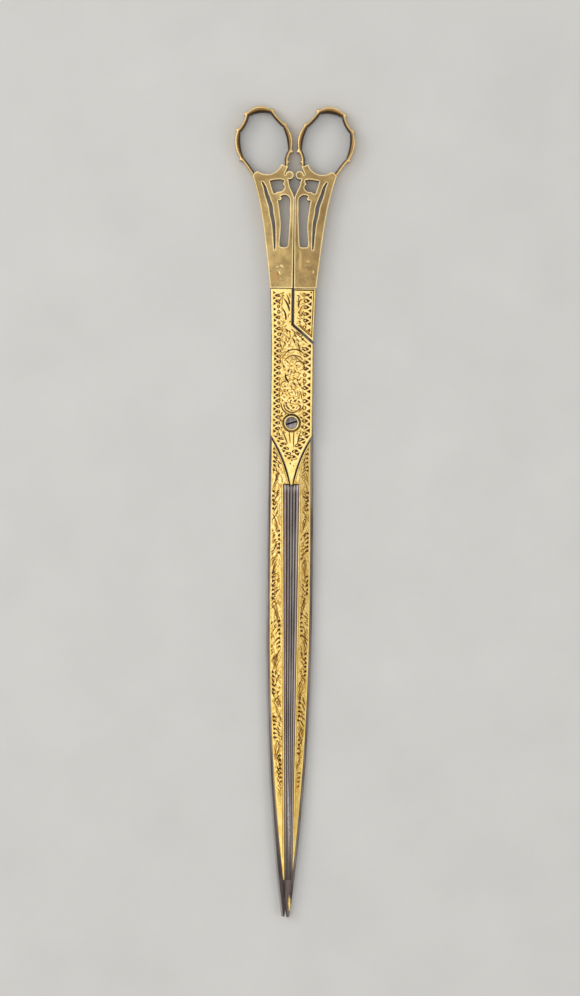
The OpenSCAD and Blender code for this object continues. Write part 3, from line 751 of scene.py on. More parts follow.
def beside(x, rows, side_x, sign, zero=0.0):
    """Distance in from a side line, and distance along it from the row at zero, for a grid of points
    in rows. The line's lean is taken over 0.6 mm, so that it turns its corners softly."""
    above = np.interp(-(rows + 0.3), -rows, side_x)
    under = np.interp(-(rows - 0.3), -rows, side_x)
    run = np.hypot(1, (above - under) / 0.6)
    along = np.concatenate([[0], np.cumsum(np.hypot(np.diff(rows), np.diff(side_x)))])
    along -= np.interp(-zero, -rows, along)
    return sign * (x - side_x[:, None]) / run[:, None], np.repeat(along[:, None], x.shape[1], 1)


left_line, right_line = shank_sides(gold_inset)
print("side lines with", len(left_line), "and", len(right_line), "points")

# %% [markdown]
# The main strokes are listed from the brass down to the point: where each starts and ends, how far it
# bulges to its left, its width, where it is heaviest, and how deep it is cut.

# %% Strokes of the main panel
panel_leaves = [
    # The fan of long leaves under the brass
    ((-3.2, 43.5), (-1.2, 39.2), 0.35, 0.55, 0.6, 0.9),
    ((-2.3, 45.0), (-1.2, 41.5), 0.25, 0.5, 0.8, 0.8),
    ((-1.4, 45.5), (-1.0, 43.8), 0.1, 0.4, 0.5, 0.45),
    ((-3.8, 40.4), (-2.4, 36.1), 0.4, 0.55, 0.75, 0.9),
    ((-3.7, 42.8), (-4.1, 41.0), 0.1, 0.35, 0.5, 0.4),
    ((-3.0, 45.9), (-4.4, 45.2), 0.15, 0.35, 0.5, 0.45),
    ((-3.4, 44.8), (-4.3, 43.4), 0.15, 0.35, 0.5, 0.45),
    ((-0.9, 38.3), (-1.6, 36.9), -0.3, 0.35, 0.5, 0.45),
    ((-1.1, 35.6), (-0.8, 35.4), 0.0, 0.6, 0.5, 0.8),
    ((-2.4, 35.5), (-3.5, 34.4), -0.15, 0.35, 0.5, 0.45),
    ((-2.1, 34.4), (-3.2, 33.4), 0.15, 0.3, 0.5, 0.45),
    ((-2.4, 32.9), (-1.7, 31.9), 0.1, 0.5, 0.6, 0.8),
    ((-1.2, 32.3), (-0.8, 31.7), 0.0, 0.45, 0.6, 0.7),
    # Leaves that hang from the shoulder's corner
    ((0.5, 31.7), (0.9, 30.2), 0.1, 0.45, 0.6, 0.7),
    ((-0.2, 29.9), (0.8, 28.0), 0.2, 0.5, 0.75, 0.85),
    ((1.3, 32.1), (2.8, 31.0), -0.15, 0.45, 0.5, 0.7),
    ((2.7, 30.4), (3.5, 31.0), -0.25, 0.4, 0.5, 0.6),
    ((1.3, 29.6), (2.3, 28.2), 0.15, 0.4, 0.5, 0.55),
    ((1.8, 28.1), (2.4, 26.0), 0.15, 0.5, 0.7, 0.7),
    ((3.3, 29.0), (3.9, 29.7), 0.1, 0.6, 0.5, 0.85),
    ((-0.8, 30.2), (-1.2, 28.7), -0.1, 0.35, 0.5, 0.45),
    ((-2.5, 30.1), (-2.1, 28.8), 0.1, 0.35, 0.5, 0.45),
    ((-3.3, 28.6), (-2.2, 27.3), 0.15, 0.4, 0.5, 0.6),
    ((-1.4, 27.4), (-1.0, 27.2), 0.0, 0.5, 0.5, 0.8),
    ((-3.7, 27.3), (-3.3, 25.2), -0.3, 0.35, 0.5, 0.5),
    ((-4.4, 31.4), (-3.6, 31.0), 0.1, 0.4, 0.5, 0.55),
    ((-3.9, 29.8), (-3.0, 30.1), 0.2, 0.3, 0.5, 0.45),
    # Crescents and leaves of the middle
    ((-2.3, 17.3), (-1.1, 14.3), -0.45, 0.6, 0.6, 1.0),
    ((-0.9, 18.9), (-1.3, 17.5), -0.3, 0.45, 0.5, 0.8),
    ((0.1, 18.6), (-0.2, 17.2), -0.25, 0.35, 0.5, 0.6),
    ((1.2, 18.2), (0.9, 17.3), -0.15, 0.35, 0.5, 0.55),
    ((1.8, 17.8), (2.6, 17.2), 0.2, 0.35, 0.5, 0.5),
    ((-3.2, 19.8), (-2.5, 19.5), 0.1, 0.5, 0.5, 0.8),
    ((0.2, 15.9), (1.4, 15.3), 0.15, 0.4, 0.5, 0.5),
    ((1.6, 15.6), (2.1, 14.6), 0.1, 0.5, 0.6, 0.8),
    ((2.4, 15.0), (3.2, 16.1), -0.15, 0.35, 0.5, 0.5),
    ((0.4, 14.2), (1.2, 13.2), 0.1, 0.55, 0.6, 0.85),
    ((2.3, 13.7), (3.1, 13.1), 0.05, 0.55, 0.5, 0.9),
    ((-0.5, 13.1), (0.0, 12.0), 0.1, 0.4, 0.5, 0.55),
    ((-2.7, 12.9), (-2.1, 12.8), 0.0, 0.5, 0.5, 0.75),
    ((-1.7, 11.6), (-1.3, 11.4), 0.0, 0.55, 0.5, 0.85),
    ((-3.1, 11.8), (-2.0, 11.4), 0.15, 0.35, 0.5, 0.5),
    ((3.3, 12.3), (4.0, 12.1), 0.1, 0.5, 0.5, 0.8),
    ((2.7, 11.3), (2.9, 10.0), 0.2, 0.4, 0.5, 0.6),
    ((1.8, 11.5), (2.1, 9.6), 0.15, 0.35, 0.5, 0.45),
    ((0.9, 11.6), (1.2, 9.8), 0.15, 0.35, 0.5, 0.45),
    ((0.3, 12.0), (0.8, 11.5), 0.0, 0.4, 0.5, 0.7),
    ((-0.1, 11.1), (0.2, 10.3), 0.05, 0.4, 0.5, 0.6),
    ((-3.5, 10.6), (-3.0, 10.2), 0.0, 0.5, 0.5, 0.75),
    ((-2.6, 10.3), (-1.6, 9.5), 0.15, 0.3, 0.5, 0.45),
    ((-1.3, 10.4), (-0.4, 9.3), 0.15, 0.3, 0.5, 0.45),
    ((3.6, 10.2), (3.4, 8.4), -0.1, 0.4, 0.5, 0.5),
    ((0.5, 9.0), (0.9, 8.8), 0.0, 0.4, 0.5, 0.6),
    ((-3.2, 9.3), (-2.2, 8.6), 0.1, 0.3, 0.5, 0.45),
    # Inside the ring above the screw
    ((-2.3, 7.1), (-1.6, 6.7), 0.1, 0.6, 0.5, 0.85),
    ((-0.5, 7.3), (0.1, 8.1), 0.2, 0.4, 0.5, 0.75),
    ((0.7, 7.5), (1.6, 7.9), 0.1, 0.5, 0.6, 0.85),
    ((2.3, 7.5), (2.9, 7.2), 0.1, 0.5, 0.5, 0.7),
    ((-1.2, 5.2), (-0.8, 5.0), 0.0, 0.55, 0.5, 0.8),
    ((0.2, 5.2), (1.0, 5.7), -0.2, 0.4, 0.5, 0.75),
    ((2.2, 6.5), (3.2, 5.2), 0.25, 0.4, 0.5, 0.8),
    # Beside the collar
    ((3.1, 2.2), (3.6, 1.8), 0.0, 0.5, 0.5, 0.75),
    ((3.7, 0.9), (4.1, 0.3), 0.0, 0.45, 0.5, 0.6),
    ((3.4, -1.2), (3.8, -1.6), 0.0, 0.5, 0.5, 0.7),
    ((-3.6, 2.7), (-3.0, 2.3), 0.0, 0.5, 0.5, 0.75),
    ((-3.8, 1.2), (-3.4, 0.4), 0.1, 0.4, 0.5, 0.5),
    ((-3.7, -1.3), (-3.3, -2.1), 0.1, 0.4, 0.5, 0.5),
    # Long petals under the collar
    ((-3.1, -2.9), (-1.3, -7.4), 0.1, 0.4, 0.5, 0.7),
    ((-0.8, -3.0), (-0.35, -7.2), 0.05, 0.35, 0.4, 0.6),
    ((0.9, -3.0), (0.95, -8.8), -0.1, 0.4, 0.4, 0.65),
    ((3.2, -3.0), (2.2, -7.3), -0.1, 0.45, 0.6, 0.75),
    ((0.0, -13.1), (0.5, -12.8), -0.1, 0.45, 0.5, 0.75),
    ((-0.5, -13.9), (0.0, -14.4), 0.0, 0.4, 0.5, 0.55),
    ((0.8, -14.7), (1.0, -15.3), 0.0, 0.3, 0.5, 0.4),
    ((-0.6, -11.0), (0.0, -11.3), -0.15, 0.35, 0.5, 0.6),
    ((1.3, -10.3), (1.7, -10.8), 0.0, 0.35, 0.5, 0.55),
]
panel_arcs = [
    ((0.7, 21.65), 4.15, 35, 165, 0.35, 0.65),
    ((0.7, 21.65), 4.15, 48, 80, 0.5, 0.9),
    ((0.7, 21.65), 4.15, 112, 128, 0.5, 0.9),
    ((0.7, 19.65), 4.0, 38, 150, 0.4, 0.6),
    ((1.2, 19.9), 2.6, 30, 140, 0.3, 0.5),
    ((2.4, 19.9), 1.75, -50, 150, 0.35, 0.75),
    ((-2.6, 13.65), 0.95, 50, 210, 0.3, 0.65),
    ((-2.9, 22.0), 1.3, 120, 250, 0.3, 0.5),
    ((0.2, 6.8), 3.9, 175, 255, 0.4, 0.7),
    ((0.2, 6.8), 3.1, 180, 352, 0.4, 0.65),
    ((0.2, 6.8), 2.2, 185, 250, 0.35, 0.75),
    ((0.4, 6.8), 3.6, 300, 350, 0.3, 0.5),
]
print(len(panel_leaves), "leaves and", len(panel_arcs), "arcs")


# %% [markdown]
# Between the main strokes the real panel is covered with soft modelling, like foliage. Small shallow
# strokes stand for it. They lie on a loose grid, and each sweeps round the nearest of a few centres.


# %% Soft modelling between the strokes
panel_centres = np.array([
    (-0.8, 40.0), (2.5, 28.5), (-2.5, 28.5), (0.7, 21.7), (2.4, 19.9), (-2.6, 13.65), (1.5, 13.5),
    (0.2, 6.8), (0.0, 0.0),
])
pit_share = 0.14


def soft_strokes(seed, spacing, line_left, line_right, low, high, margin, centres):
    """Shallow strokes on a loose grid between two side lines, a margin in from both. Each runs round
    the nearest centre, give or take a little, and one in seven is a deep pit instead."""
    rng = np.random.default_rng(seed)
    x, y = np.meshgrid(np.arange(-cross_w, cross_w, spacing), np.arange(low, high, spacing))
    x = (x + rng.uniform(-0.45, 0.45, x.shape) * spacing).ravel()
    y = (y + rng.uniform(-0.45, 0.45, y.shape) * spacing).ravel()
    room = np.minimum(x - at_rows(line_left, y), at_rows(line_right, y) - x)
    x, y = x[room > margin], y[room > margin]
    away = np.hypot(x[:, None] - centres[:, 0], y[:, None] - centres[:, 1])
    near = centres[away.argmin(1)]
    turn = np.arctan2(y - near[:, 1], x - near[:, 0]) + math.pi / 2 + rng.normal(0, 0.6, len(x))
    long = rng.uniform(0.8, 1.9, len(x))
    wide = rng.uniform(0.24, 0.36, len(x))
    depth = rng.uniform(0.18, 0.42, len(x))
    pit = rng.random(len(x)) < pit_share
    long[pit], wide[pit], depth[pit] = 0.7, 0.36, 0.75
    run = np.stack([np.cos(turn), np.sin(turn)], 1) * long[:, None] / 2
    place = np.stack([x, y], 1)
    bulge = long * rng.uniform(0.06, 0.2, len(x))
    values = zip(place - run, place + run, bulge, wide, rng.uniform(0.35, 0.65, len(x)), depth)
    return [tuple(v) for v in values]


panel_soft = soft_strokes(
    5, 1.0, left_line, right_line, low=-13.5, high=46.0, margin=2.6, centres=panel_centres,
)
print(len(panel_soft), "soft strokes")


# %% [markdown]
# Hundreds of strokes are too many to work out everywhere, so each is worked out only on the rows
# that it can reach. Where strokes meet, the deepest wins, as it does under a graver.


# %% The deepest cut
def deepest(x, y, cut, leaves, arcs):
    """The deepest of the strokes at each point, on top of what is cut already. A stroke is worked
    out only on the rows that it can reach."""
    for start, end, bulge, width, heavy, depth in leaves:
        reach = abs(bulge) + width + 0.2
        near = (y[:, 0] < max(start[1], end[1]) + reach) & (y[:, 0] > min(start[1], end[1]) - reach)
        inside = leaf_cut(x[near], y[near], start, end, bulge, width, heavy)
        cut[near] = np.maximum(cut[near], sunk(inside, depth))
    for centre, radius, turn_from, turn_to, width, depth in arcs:
        near = np.abs(y[:, 0] - centre[1]) < radius + width
        inside = arc_cut(x[near], y[near], centre, radius, turn_from, turn_to, width)
        cut[near] = np.maximum(cut[near], sunk(inside, depth))
    return cut


# %% [markdown]
# The whole relief is only 0.13 mm deep. It fades out where one ornament gives way to another, and
# the sheet's own edge is rounded, so that it catches the light as beaten metal does.

# %% Relief of the shank's face
relief = 0.13
edge_round = 0.07
edge_w = 0.22


def sunk_face(cut, width, *from_sides):
    """How far the face lies under its full height: its cuts, and its edges rounded over a width.
    Gives the depth in millimetres, and the cuts as they are."""
    rim = np.minimum.reduce(from_sides)
    return cut * relief + edge_round * (1 - smooth(rim, 0, width)), cut


left_border = dict(fillet=0.85, pitch=1.94, tall=0.95, base=0.54, curl=2.6, ring=0.42)
right_border = dict(fillet=0.75, pitch=2.28, tall=1.2, base=0.66, curl=2.75, ring=0.5)
left_start = 45.6
right_start = 22.5
give_way = 2.4, 3.0
round_collar = 3.4, 3.8


def shank_relief(rows, left, right):
    """The function that sinks the shank's face, whose rows lie between two side lines."""
    def sink(x, y):
        s_left, t_left = beside(x, rows, left, 1, left_start)
        s_right, t_right = beside(x, rows, right, -1, right_start)
        s_top = rows[0] - y
        field = smooth(s_top, 0.8, 1.1) * smooth(y, -13.2, -12.0)
        # The soft strokes keep clear of the collar and of the petals below it
        soft = deepest(x, y, np.zeros(x.shape), panel_soft, [])
        petals = smooth(np.abs(x) + 0.12 * (y + 3), 1.7, 2.2)
        petals = np.maximum(petals, smooth(y, -3.4, -2.6))
        cut = soft * smooth(np.hypot(x, y), *round_collar) * petals
        # Each border gives way where the other side comes near
        left_row = border_cut(s_left, t_left, **left_border) * field
        cut = np.maximum(cut, left_row * smooth(s_right, *give_way))
        below_shoulder = smooth(waist_y - 0.5 - y, 0, 0.4)
        right_row = border_cut(s_right, t_right, **right_border) * field * below_shoulder
        cut = np.maximum(cut, right_row * smooth(s_left, *give_way))
        # The shoulder's slope has one incised line in place of a border
        shoulder_line = 0.16 - np.abs(s_right - 1.0)
        on_shoulder = smooth(y, waist_y - 0.6, waist_y) * smooth(heel_y - 1.4 - y, 0, 0.4)
        cut = np.maximum(cut, sunk(shoulder_line, 0.55) * on_shoulder)
        cut = deepest(x, y, cut, panel_leaves, panel_arcs)
        return sunk_face(cut, edge_w, s_left, s_right, s_top)
    return sink


# %% [markdown]
# Now the sheets are made, in rows that also pass through each corner of the outline and round the
# hole for the screw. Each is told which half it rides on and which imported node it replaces.


# %% Sheets of the shank
def flat(level):
    """A height that is the same everywhere."""
    return lambda x, y: np.full(x.shape, level)


def fit(piece, half, node, slot, *finishes):
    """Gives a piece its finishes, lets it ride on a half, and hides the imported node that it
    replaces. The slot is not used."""
    for finish in finishes:
        piece.data.materials.append(finish)
    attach(piece, half + "_half")
    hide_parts(node)


def shank_sheet(half, hole_r, lengths, columns):
    """The gold of one half's shank, with the hole that the screw needs."""
    rounds = hole_r * np.cos(np.linspace(0, math.pi, 25))
    low = left_line[-1, 1] + 0.02
    corners = np.concatenate([left_line[:, 1], right_line[:, 1], rounds])
    rows = np.concatenate([np.linspace(low, left_line[0, 1], lengths), corners])
    rows = np.unique(np.round(rows, 4))[::-1]
    rows = rows[rows >= low]
    left = at_rows(left_line, rows)
    right = at_rows(right_line, rows)
    hole = np.sqrt(np.clip(hole_r**2 - rows**2, 0, None))
    hole[hole < 0.02] = 0
    return close_sheet(
        half + "_shank_sheet", half, rows, left, right, hole, columns,
        flat(half_t), flat(steel_top), shank_relief(rows, left, right),
    )


collar_lap = 1.0
thread_r = 1.15
thread_gap = 0.15
collar_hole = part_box("pivot_collar")[1].x / MM - collar_lap
end_hole = thread_r + thread_gap

# The front sheet is seen most, so its grid is finer: rows along it, and columns across
for half, *grid in (("front", collar_hole, 580, 144), ("back", end_hole, 420, 100)):
    fit(shank_sheet(half, *grid), half, half + "_shank_gold", "gold_sheet", gold)


# %% [markdown]
# ### The heel's face
# Beside the other half's shank, each half shows a small panel of its own, at full thickness. An
# incised line frames it, doubled along the slope, and a border of triangles follows its outer side
# only. It faces the other way from the rest of its half, so it is placed with the other half.


# %% Strokes of the heel
heel_leaves = [
    ((2.3, 44.6), (2.0, 42.5), -0.2, 0.4, 0.5, 0.5),
    ((3.1, 43.4), (2.0, 40.8), -0.45, 0.5, 0.7, 0.9),
    ((3.5, 40.9), (2.3, 39.0), -0.2, 0.35, 0.5, 0.55),
    ((1.9, 39.1), (2.4, 38.2), 0.0, 0.5, 0.5, 0.8),
    ((3.9, 39.3), (3.1, 37.5), -0.2, 0.4, 0.5, 0.6),
    ((2.5, 38.0), (3.3, 37.5), 0.1, 0.4, 0.5, 0.6),
    ((2.2, 35.8), (2.7, 35.2), 0.0, 0.5, 0.5, 0.75),
    ((1.6, 37.0), (2.4, 36.6), -0.2, 0.3, 0.5, 0.4),
    ((3.9, 45.5), (4.3, 45.2), 0.0, 0.45, 0.5, 0.7),
    ((4.7, 45.3), (5.1, 44.8), 0.0, 0.45, 0.5, 0.8),
    ((5.3, 44.8), (5.7, 44.4), 0.0, 0.45, 0.5, 0.8),
    ((6.0, 45.9), (6.7, 45.4), 0.1, 0.4, 0.5, 0.8),
    ((3.1, 45.8), (3.8, 44.6), 0.2, 0.3, 0.5, 0.4),
    ((4.3, 35.0), (4.9, 34.4), 0.0, 0.4, 0.5, 0.7),
    ((3.7, 36.3), (4.3, 35.9), 0.1, 0.35, 0.5, 0.55),
]
heel_border = dict(fillet=1.15, pitch=2.3, tall=1.2, base=0.68, curl=3.2, ring=0.52)
heel_start = 39.4
heel_rows, heel_columns = 230, 90
print(len(heel_leaves), "leaves on a heel")

# %% [markdown]
# The heel ends below in a point, where the other half's slope meets the outer side. One function
# makes both heels, with the same helpers as the shank's sheets.


# %% Heel panels
def heel_lines(inset):
    """The heel's left and right side lines as seen, from the top down."""
    rise = inset * math.hypot(1, shoulder_k)
    slit = slit_w / 2 + inset
    low = [cross_w - inset, waist_y + rise + shoulder_k * inset]
    left = [[slit, shank_l - inset], [slit, heel_y + rise - shoulder_k * inset], low]
    right = [[shank_w - inset, shank_l - inset], low]
    return np.array(left), np.array(right)


def heel_sheet(half):
    """The gold of one half's heel. It is drawn as seen, and placed with the other half."""
    left_side, right_side = heel_lines(gold_inset)
    rows = np.linspace(right_side[-1, 1] + 0.02, right_side[0, 1], heel_rows)
    rows = np.unique(np.concatenate([rows, left_side[:2, 1]]))[::-1]
    left = at_rows(left_side, rows)
    right = at_rows(right_side, rows)
    soft = soft_strokes(
        9, 0.95, left_side, right_side, low=heel_y - 2, high=45.4, margin=1.0,
        centres=np.array([(3.4, 41.5), (3.2, 37.0)]),
    )

    def sink(x, y):
        s_right, t_right = beside(x, rows, right, -1, heel_start)
        s_left, _ = beside(x, rows, left, 1)
        s_top = rows[0] - y
        # The frame's lines: one at the outer side and the top, two at the slope
        on_slope = smooth(heel_y - y, -0.2, 0.3)
        line = np.maximum(0.13 - np.abs(s_right - 0.6), 0.18 - np.abs(s_top - 0.5))
        line = np.maximum(line, 0.14 - np.abs(s_left - 0.75) - 2 * (1 - on_slope))
        line = np.maximum(line, 0.1 - np.abs(s_left - 1.2) - 2 * (1 - on_slope))
        frame_left = s_left - 0.5 * on_slope - 0.1
        inside_frame = np.minimum(np.minimum(s_right - 0.45, s_top - 0.3), frame_left)
        cut = sunk(np.minimum(line, inside_frame), 0.8)
        # Soft strokes, the border and the leaves lie inside it
        inner = deepest(x, y, np.zeros(x.shape), soft, [])
        cut = np.maximum(cut, inner * smooth(s_right, 3.2, 3.5) * smooth(s_top, 1.0, 1.4))
        room = smooth(s_top, 1.6, 2.0) * smooth(s_left, 1.4, 1.7)
        cut = np.maximum(cut, border_cut(s_right, t_right, **heel_border) * room)
        cut = deepest(x, y, cut, heel_leaves, [])
        return sunk_face(cut, edge_w, s_left, s_right, s_top)

    hole = np.zeros(len(rows))
    seen_with = "back" if half == "front" else "front"
    return close_sheet(
        half + "_heel_sheet", seen_with, rows, left, right, hole, heel_columns,
        flat(half_t), flat(steel_top), sink,
    )


for half in ("front", "back"):
    fit(heel_sheet(half), half, half + "_heel_gold", "gold_sheet", gold)

# %% [markdown]
# ### The strips on the blade
# On each blade two strips of gold lie on the facets beside the fluted panel. They start under the
# bolster, draw in with the blade and end in points near the tip. Their height follows the facets:
# the flat crown in the middle, and a slope to each side.

# %% Lines of the blade
root_w = 7.6
reveal_root = 0.2
reveal_belly = 0.75
reveal_tip = 1.75
crown_root = steel_top - 0.4
crown_tip = 0.9
edge_slope = math.tan(math.radians(11))
back_slope = math.tan(math.radians(12))
edge_bare = 0.55
back_bare = 0.95


def mix(low, high, share):
    """The value a share of the way from low to high."""
    return low + (high - low) * share


def along_blade(d, root, belly, tip, up_power, down_power):
    """A width that has the given sizes at the bolster, at the belly and at the tip."""
    to_root = (belly_d - d) / (belly_d - bolster_start)
    to_tip = np.clip(d - belly_d, 0, None) / (blade_l - belly_d)
    upper = mix(belly, root, to_root**up_power)
    return np.where(d < belly_d, upper, mix(belly, tip, to_tip**down_power))


def back_x(d):
    """Distance of the blade's back from the middle line, at a distance d below the pivot."""
    return along_blade(d, root_w, belly_w, tip_w, 2, taper_power)


def edge_x(d):
    """Place of the cutting edge: the back's mirror image, less what the other blade shows."""
    return along_blade(d, reveal_root, reveal_belly, reveal_tip, 1, 2) - back_x(d)


def panel_sides(d):
    """Left and right side of the fluted panel."""
    share = (d - bolster_end) / (panel_end_d - bolster_end)
    middle = mix(panel_x, panel_end_x, share)
    wide = mix(panel_w, panel_end_w, share)
    return middle - wide, middle + wide


def roof(x, y, lift=0.0):
    """Height of the blade's face: the crown, which falls towards the tip, and the facets beside."""
    left, right = panel_sides(-y)
    crown = mix(crown_root, crown_tip, -y / blade_l) + lift
    facets = np.minimum(crown + edge_slope * (x - left), crown - back_slope * (x - right))
    return np.minimum(crown, facets)


print("blade width at the belly:", round(float(back_x(belly_d) - edge_x(belly_d)), 2), "mm")


# %% [markdown]
# A strip's ornament is freer than the shank's. Over a ground of small faint leaves, clusters of
# short dark cuts take turns with fans of long soft leaves. Most clusters keep to the outer side, and
# the fans lean one way and then the other. Where the strip grows narrow, everything grows smaller.


# %% Strokes of a strip
def strip_strokes(room, from_d, to_d, seed):
    """The strokes of one strip, in millimetres across it from its outer side and along it, from
    from_d to to_d. Room is a function that gives the strip's width at a place."""
    draw = np.random.default_rng(seed).uniform
    strokes = []

    def leaf(x, d, turn, run, width, heavy, depth, across=1, zero=0.0):
        """A leaf that leaves (x, d) at an angle, seen from the strip's other side if across is -1."""
        ends = [
            (zero + across * (x + length * math.sin(turn)), d + length * math.cos(turn))
            for length in (0.0, run)
        ]
        strokes.append((*ends, 0.15 * run, width, heavy, depth))

    ground_step = 0.75
    for d in np.arange(from_d - 1.5, to_d, ground_step):
        reach = max(0.3, float(room(d)) - 1.3)
        for number in range(1 + int(reach / 1.1)):
            x = draw(0.5, 0.7 + reach)
            leaf(x, d, draw(-0.7, 0.7), draw(1, 2), draw(0.2, 0.26), 0.5, draw(0.15, 0.45))

    d = from_d
    lean = 1
    while d < to_d:
        wide = float(max(room(d), room(d + 5)))
        size = min(1.0, 0.4 + 0.15 * wide)
        reach = max(0.3, wide - 1.5)

        # A cluster: pairs of dark cuts at the side, and leaves behind them
        long = draw(7.0, 12.0) * size
        angle = draw(0.7, 1.15)
        side = (-1, 1.2 + reach) if draw() < 0.35 else (1, 0.0)
        pair_step = 1.5
        for number in range(int(long / pair_step)):
            x, along = draw(0.75, 0.95), d + pair_step * (number + draw(0.0, 0.15))
            for share, run, width in ((1.0, 1.2, 0.54), (0.15, 0.9, 0.36)):
                turn = share * angle + draw(-0.15, 0.15)
                run *= size * draw(0.7, 1.2)
                leaf(x, along, turn, run, width * size, 0.3, draw(0.8, 1.0), *side)
        for number in range(int(long / 0.65)):
            x = draw(1.5, max(1.6, 0.3 + reach))
            turn = angle * lean * draw(0.6, 0.9)
            run, width = draw(0.9, 1.9) * size, draw(0.3, 0.42) * size
            leaf(x, d + 0.8 * number, turn, run, width, 0.35, draw(0.5, 0.95), *side)
        d += long

        # A fan of long leaves
        long = draw(4.0, 7.0) * size
        for number in range(int(long / ground_step)):
            from_side = draw(0.5, 1.0)
            x, along = 0.5 + reach * from_side, d + ground_step * number - 1.2
            run = draw(2.6, 5.0) * size
            end_x = 0.55 + reach * max(0.0, from_side - draw(0.3, 0.7))
            if lean < 0:
                x, end_x = end_x, x
            width = draw(0.2, 0.28) * size
            depth = draw(0.35, 0.95)
            strokes.append(((x, along), (end_x, along + run), 0.08 * lean * run, width, 0.6, depth))
        d += long
        lean = -lean
    return strokes


# %% [markdown]
# A strip is made in rows like the other sheets. Beside the bolster and beside the panel it leaves a
# narrow gap, and it stops where it would be thinner than a hair.

# %% Strips
strip_from_d = 5.0
ornament_to_d = 136.0
fade = 120, 138
strip_edge_w = 0.2
least_w = 0.06
strip_columns = 38


def strip_sheet(half, side, seed, lengths):
    """One gold strip on a blade's facet: side is -1 beside the cutting edge, 1 beside the back."""
    bolster_left, bolster_right = shank_sides(-bolster_gap)
    turns = [panel_top_d - 0.01, panel_top_d + 0.01]
    even = np.linspace(strip_from_d, panel_end_d, lengths)
    d = np.unique(np.concatenate([even, turns, -bolster_left[2:, 1]]))
    d = d[(d >= strip_from_d) & (d <= panel_end_d)]
    panel_left, panel_right = panel_sides(d)
    above_panel = d < panel_top_d
    if side < 0:
        left = edge_x(d) + edge_bare
        right = np.where(above_panel, at_rows(bolster_left, -d), panel_left - panel_gap)
    else:
        left = np.where(above_panel, at_rows(bolster_right, -d), panel_right + panel_gap)
        right = back_x(d) - back_bare
    wide = right - left > least_w
    d, left, right = d[wide], left[wide], right[wide]
    rows = -d
    width = (right - left)[:, None]

    def room(at):
        return np.interp(at, d, width[:, 0])

    strokes = strip_strokes(room, d[0] + 2.5, ornament_to_d, seed)

    def sink(x, y):
        outer = x - left[:, None] if side < 0 else right[:, None] - x
        inner = width - outer
        cut = deepest(outer, -y, np.zeros(x.shape), strokes, [])
        clear = smooth(outer, 0.3, 0.5) * smooth(inner, 0.6, 0.85)
        cut *= clear * (1 - smooth(-y, *fade))
        # One line is incised beside the panel, as far as the strip is wide enough
        inner_line = sunk(0.11 - np.abs(inner - 0.5), 0.4) * smooth(width, 1.0, 1.6)
        return sunk_face(np.maximum(cut, inner_line), strip_edge_w, outer, inner)

    name = half + ("_edge_strip" if side < 0 else "_spine_strip")
    return close_sheet(
        name, half, rows, left, right, np.zeros(len(d)), strip_columns,
        lambda x, y: roof(x, y, gold_t), roof, sink,
    )


for half, lengths, seeds in (("front", 1150, (11, 12)), ("back", 800, (13, 14))):
    for side, seed, node in zip((-1, 1), seeds, ("_edge_gold", "_spine_gold")):
        fit(strip_sheet(half, side, seed, lengths), half, half + node, "gold_sheet", gold)

# %% [markdown]
# ## The finger bows
# Each bow is a band of brass bent into lobes and links and brazed to the handle's two horns. Its
# section is a D, flat outside and round inside. We carry the section along the middle line, swell
# it on the lobes, draw it to a small point where two stretches meet, and pinch it inside there.

# %% Middle line of a bow
rail_gap = 0.2
handle_l = 39.65
flare_w = 6.8
flare_straight = 0.65
rail_v = 0.8
bow_x = 1.55
bow_w = 19.0
bow_h = 23.1
bow_foot = 0.2
bow_depth = 4.4
lobe_t = 1.86
top_t = 2.26
link_t = 1.17
nib_l = 0.78
nib_base = 0.5
no_nib = 9
pinch_l = 0.45
pinch_depth = 0.28
bow_ease = 0.28
bow_step = 0.2
bow_corners = [
    (-0.77, -0.53), (-0.905, 0.3), (-0.605, 0.787), (0.285, 0.888), (0.75, 0.47), (0.965, -0.28),
    (0.84, -0.625),
]
bow_sags = [-0.02, 0.107, -0.075, 0.165, -0.03, 0.098, -0.07, 0.0]
top_side = 3
print("a bow is", bow_w, "by", bow_h, "mm")


def on_handle(u, v):
    """A place on the handle: u from the slit to the outer edge, v from the steel to the bow."""
    slit = -mix(slit_w, rail_gap, min(1, v / rail_v)) / 2
    flare = -shank_w - flare_w * (flare_straight * v + (1 - flare_straight) * v**4)
    return np.array([mix(slit, flare, u), shank_l + v * handle_l])


outer_seat = np.array([on_handle(0.926, 1.015), on_handle(1, 0.992)])
inner_seat = np.array([on_handle(0.145, 1.072), on_handle(0.22, 1.081)])


def bow_line():
    """The band's middle line, its thickness, how far a nib stands out, how much the inside is
    pinched and whether it is a lobe, from the outer horn round to the inner horn."""
    centre = np.array([-bow_x - bow_w / 2, shank_l + handle_l + bow_foot + bow_h / 2])
    corners = [centre + np.array(c) * (bow_w / 2, bow_h / 2) for c in bow_corners]
    knots = [outer_seat.mean(0), *corners, inner_seat.mean(0)]
    stretches = []
    last = len(bow_sags) - 1
    for i, sag in enumerate(bow_sags):
        way = knots[i + 1] - knots[i]
        length = np.hypot(*way)
        steps = int(max(6, length / bow_step))
        t = np.arange(steps)[:, None] / steps
        place = knots[i] + way * t + np.array([-way[1], way[0]]) * 4 * t * (1 - t) * sag
        lobe = 0 * t + (sag > 0.05)
        most = top_t if i == top_side else lobe_t
        thick = mix(link_t, most, np.sin(math.pi * t) * lobe)
        from_start = t * length + (no_nib if i == 0 else 0)
        from_end = (1 - t) * length + (no_nib if i == last else 0)
        near = np.minimum(from_start, from_end)
        nib = nib_l * np.clip(1 - near / nib_base, 0, 1) ** 0.8
        pinch = np.clip(1 - near / pinch_l, 0, 1)
        stretches.append(np.concatenate([place, thick, nib, pinch, lobe], 1))
    end = np.array([[*knots[-1], link_t, 0, 0, 0]])
    return np.concatenate([*stretches, end])


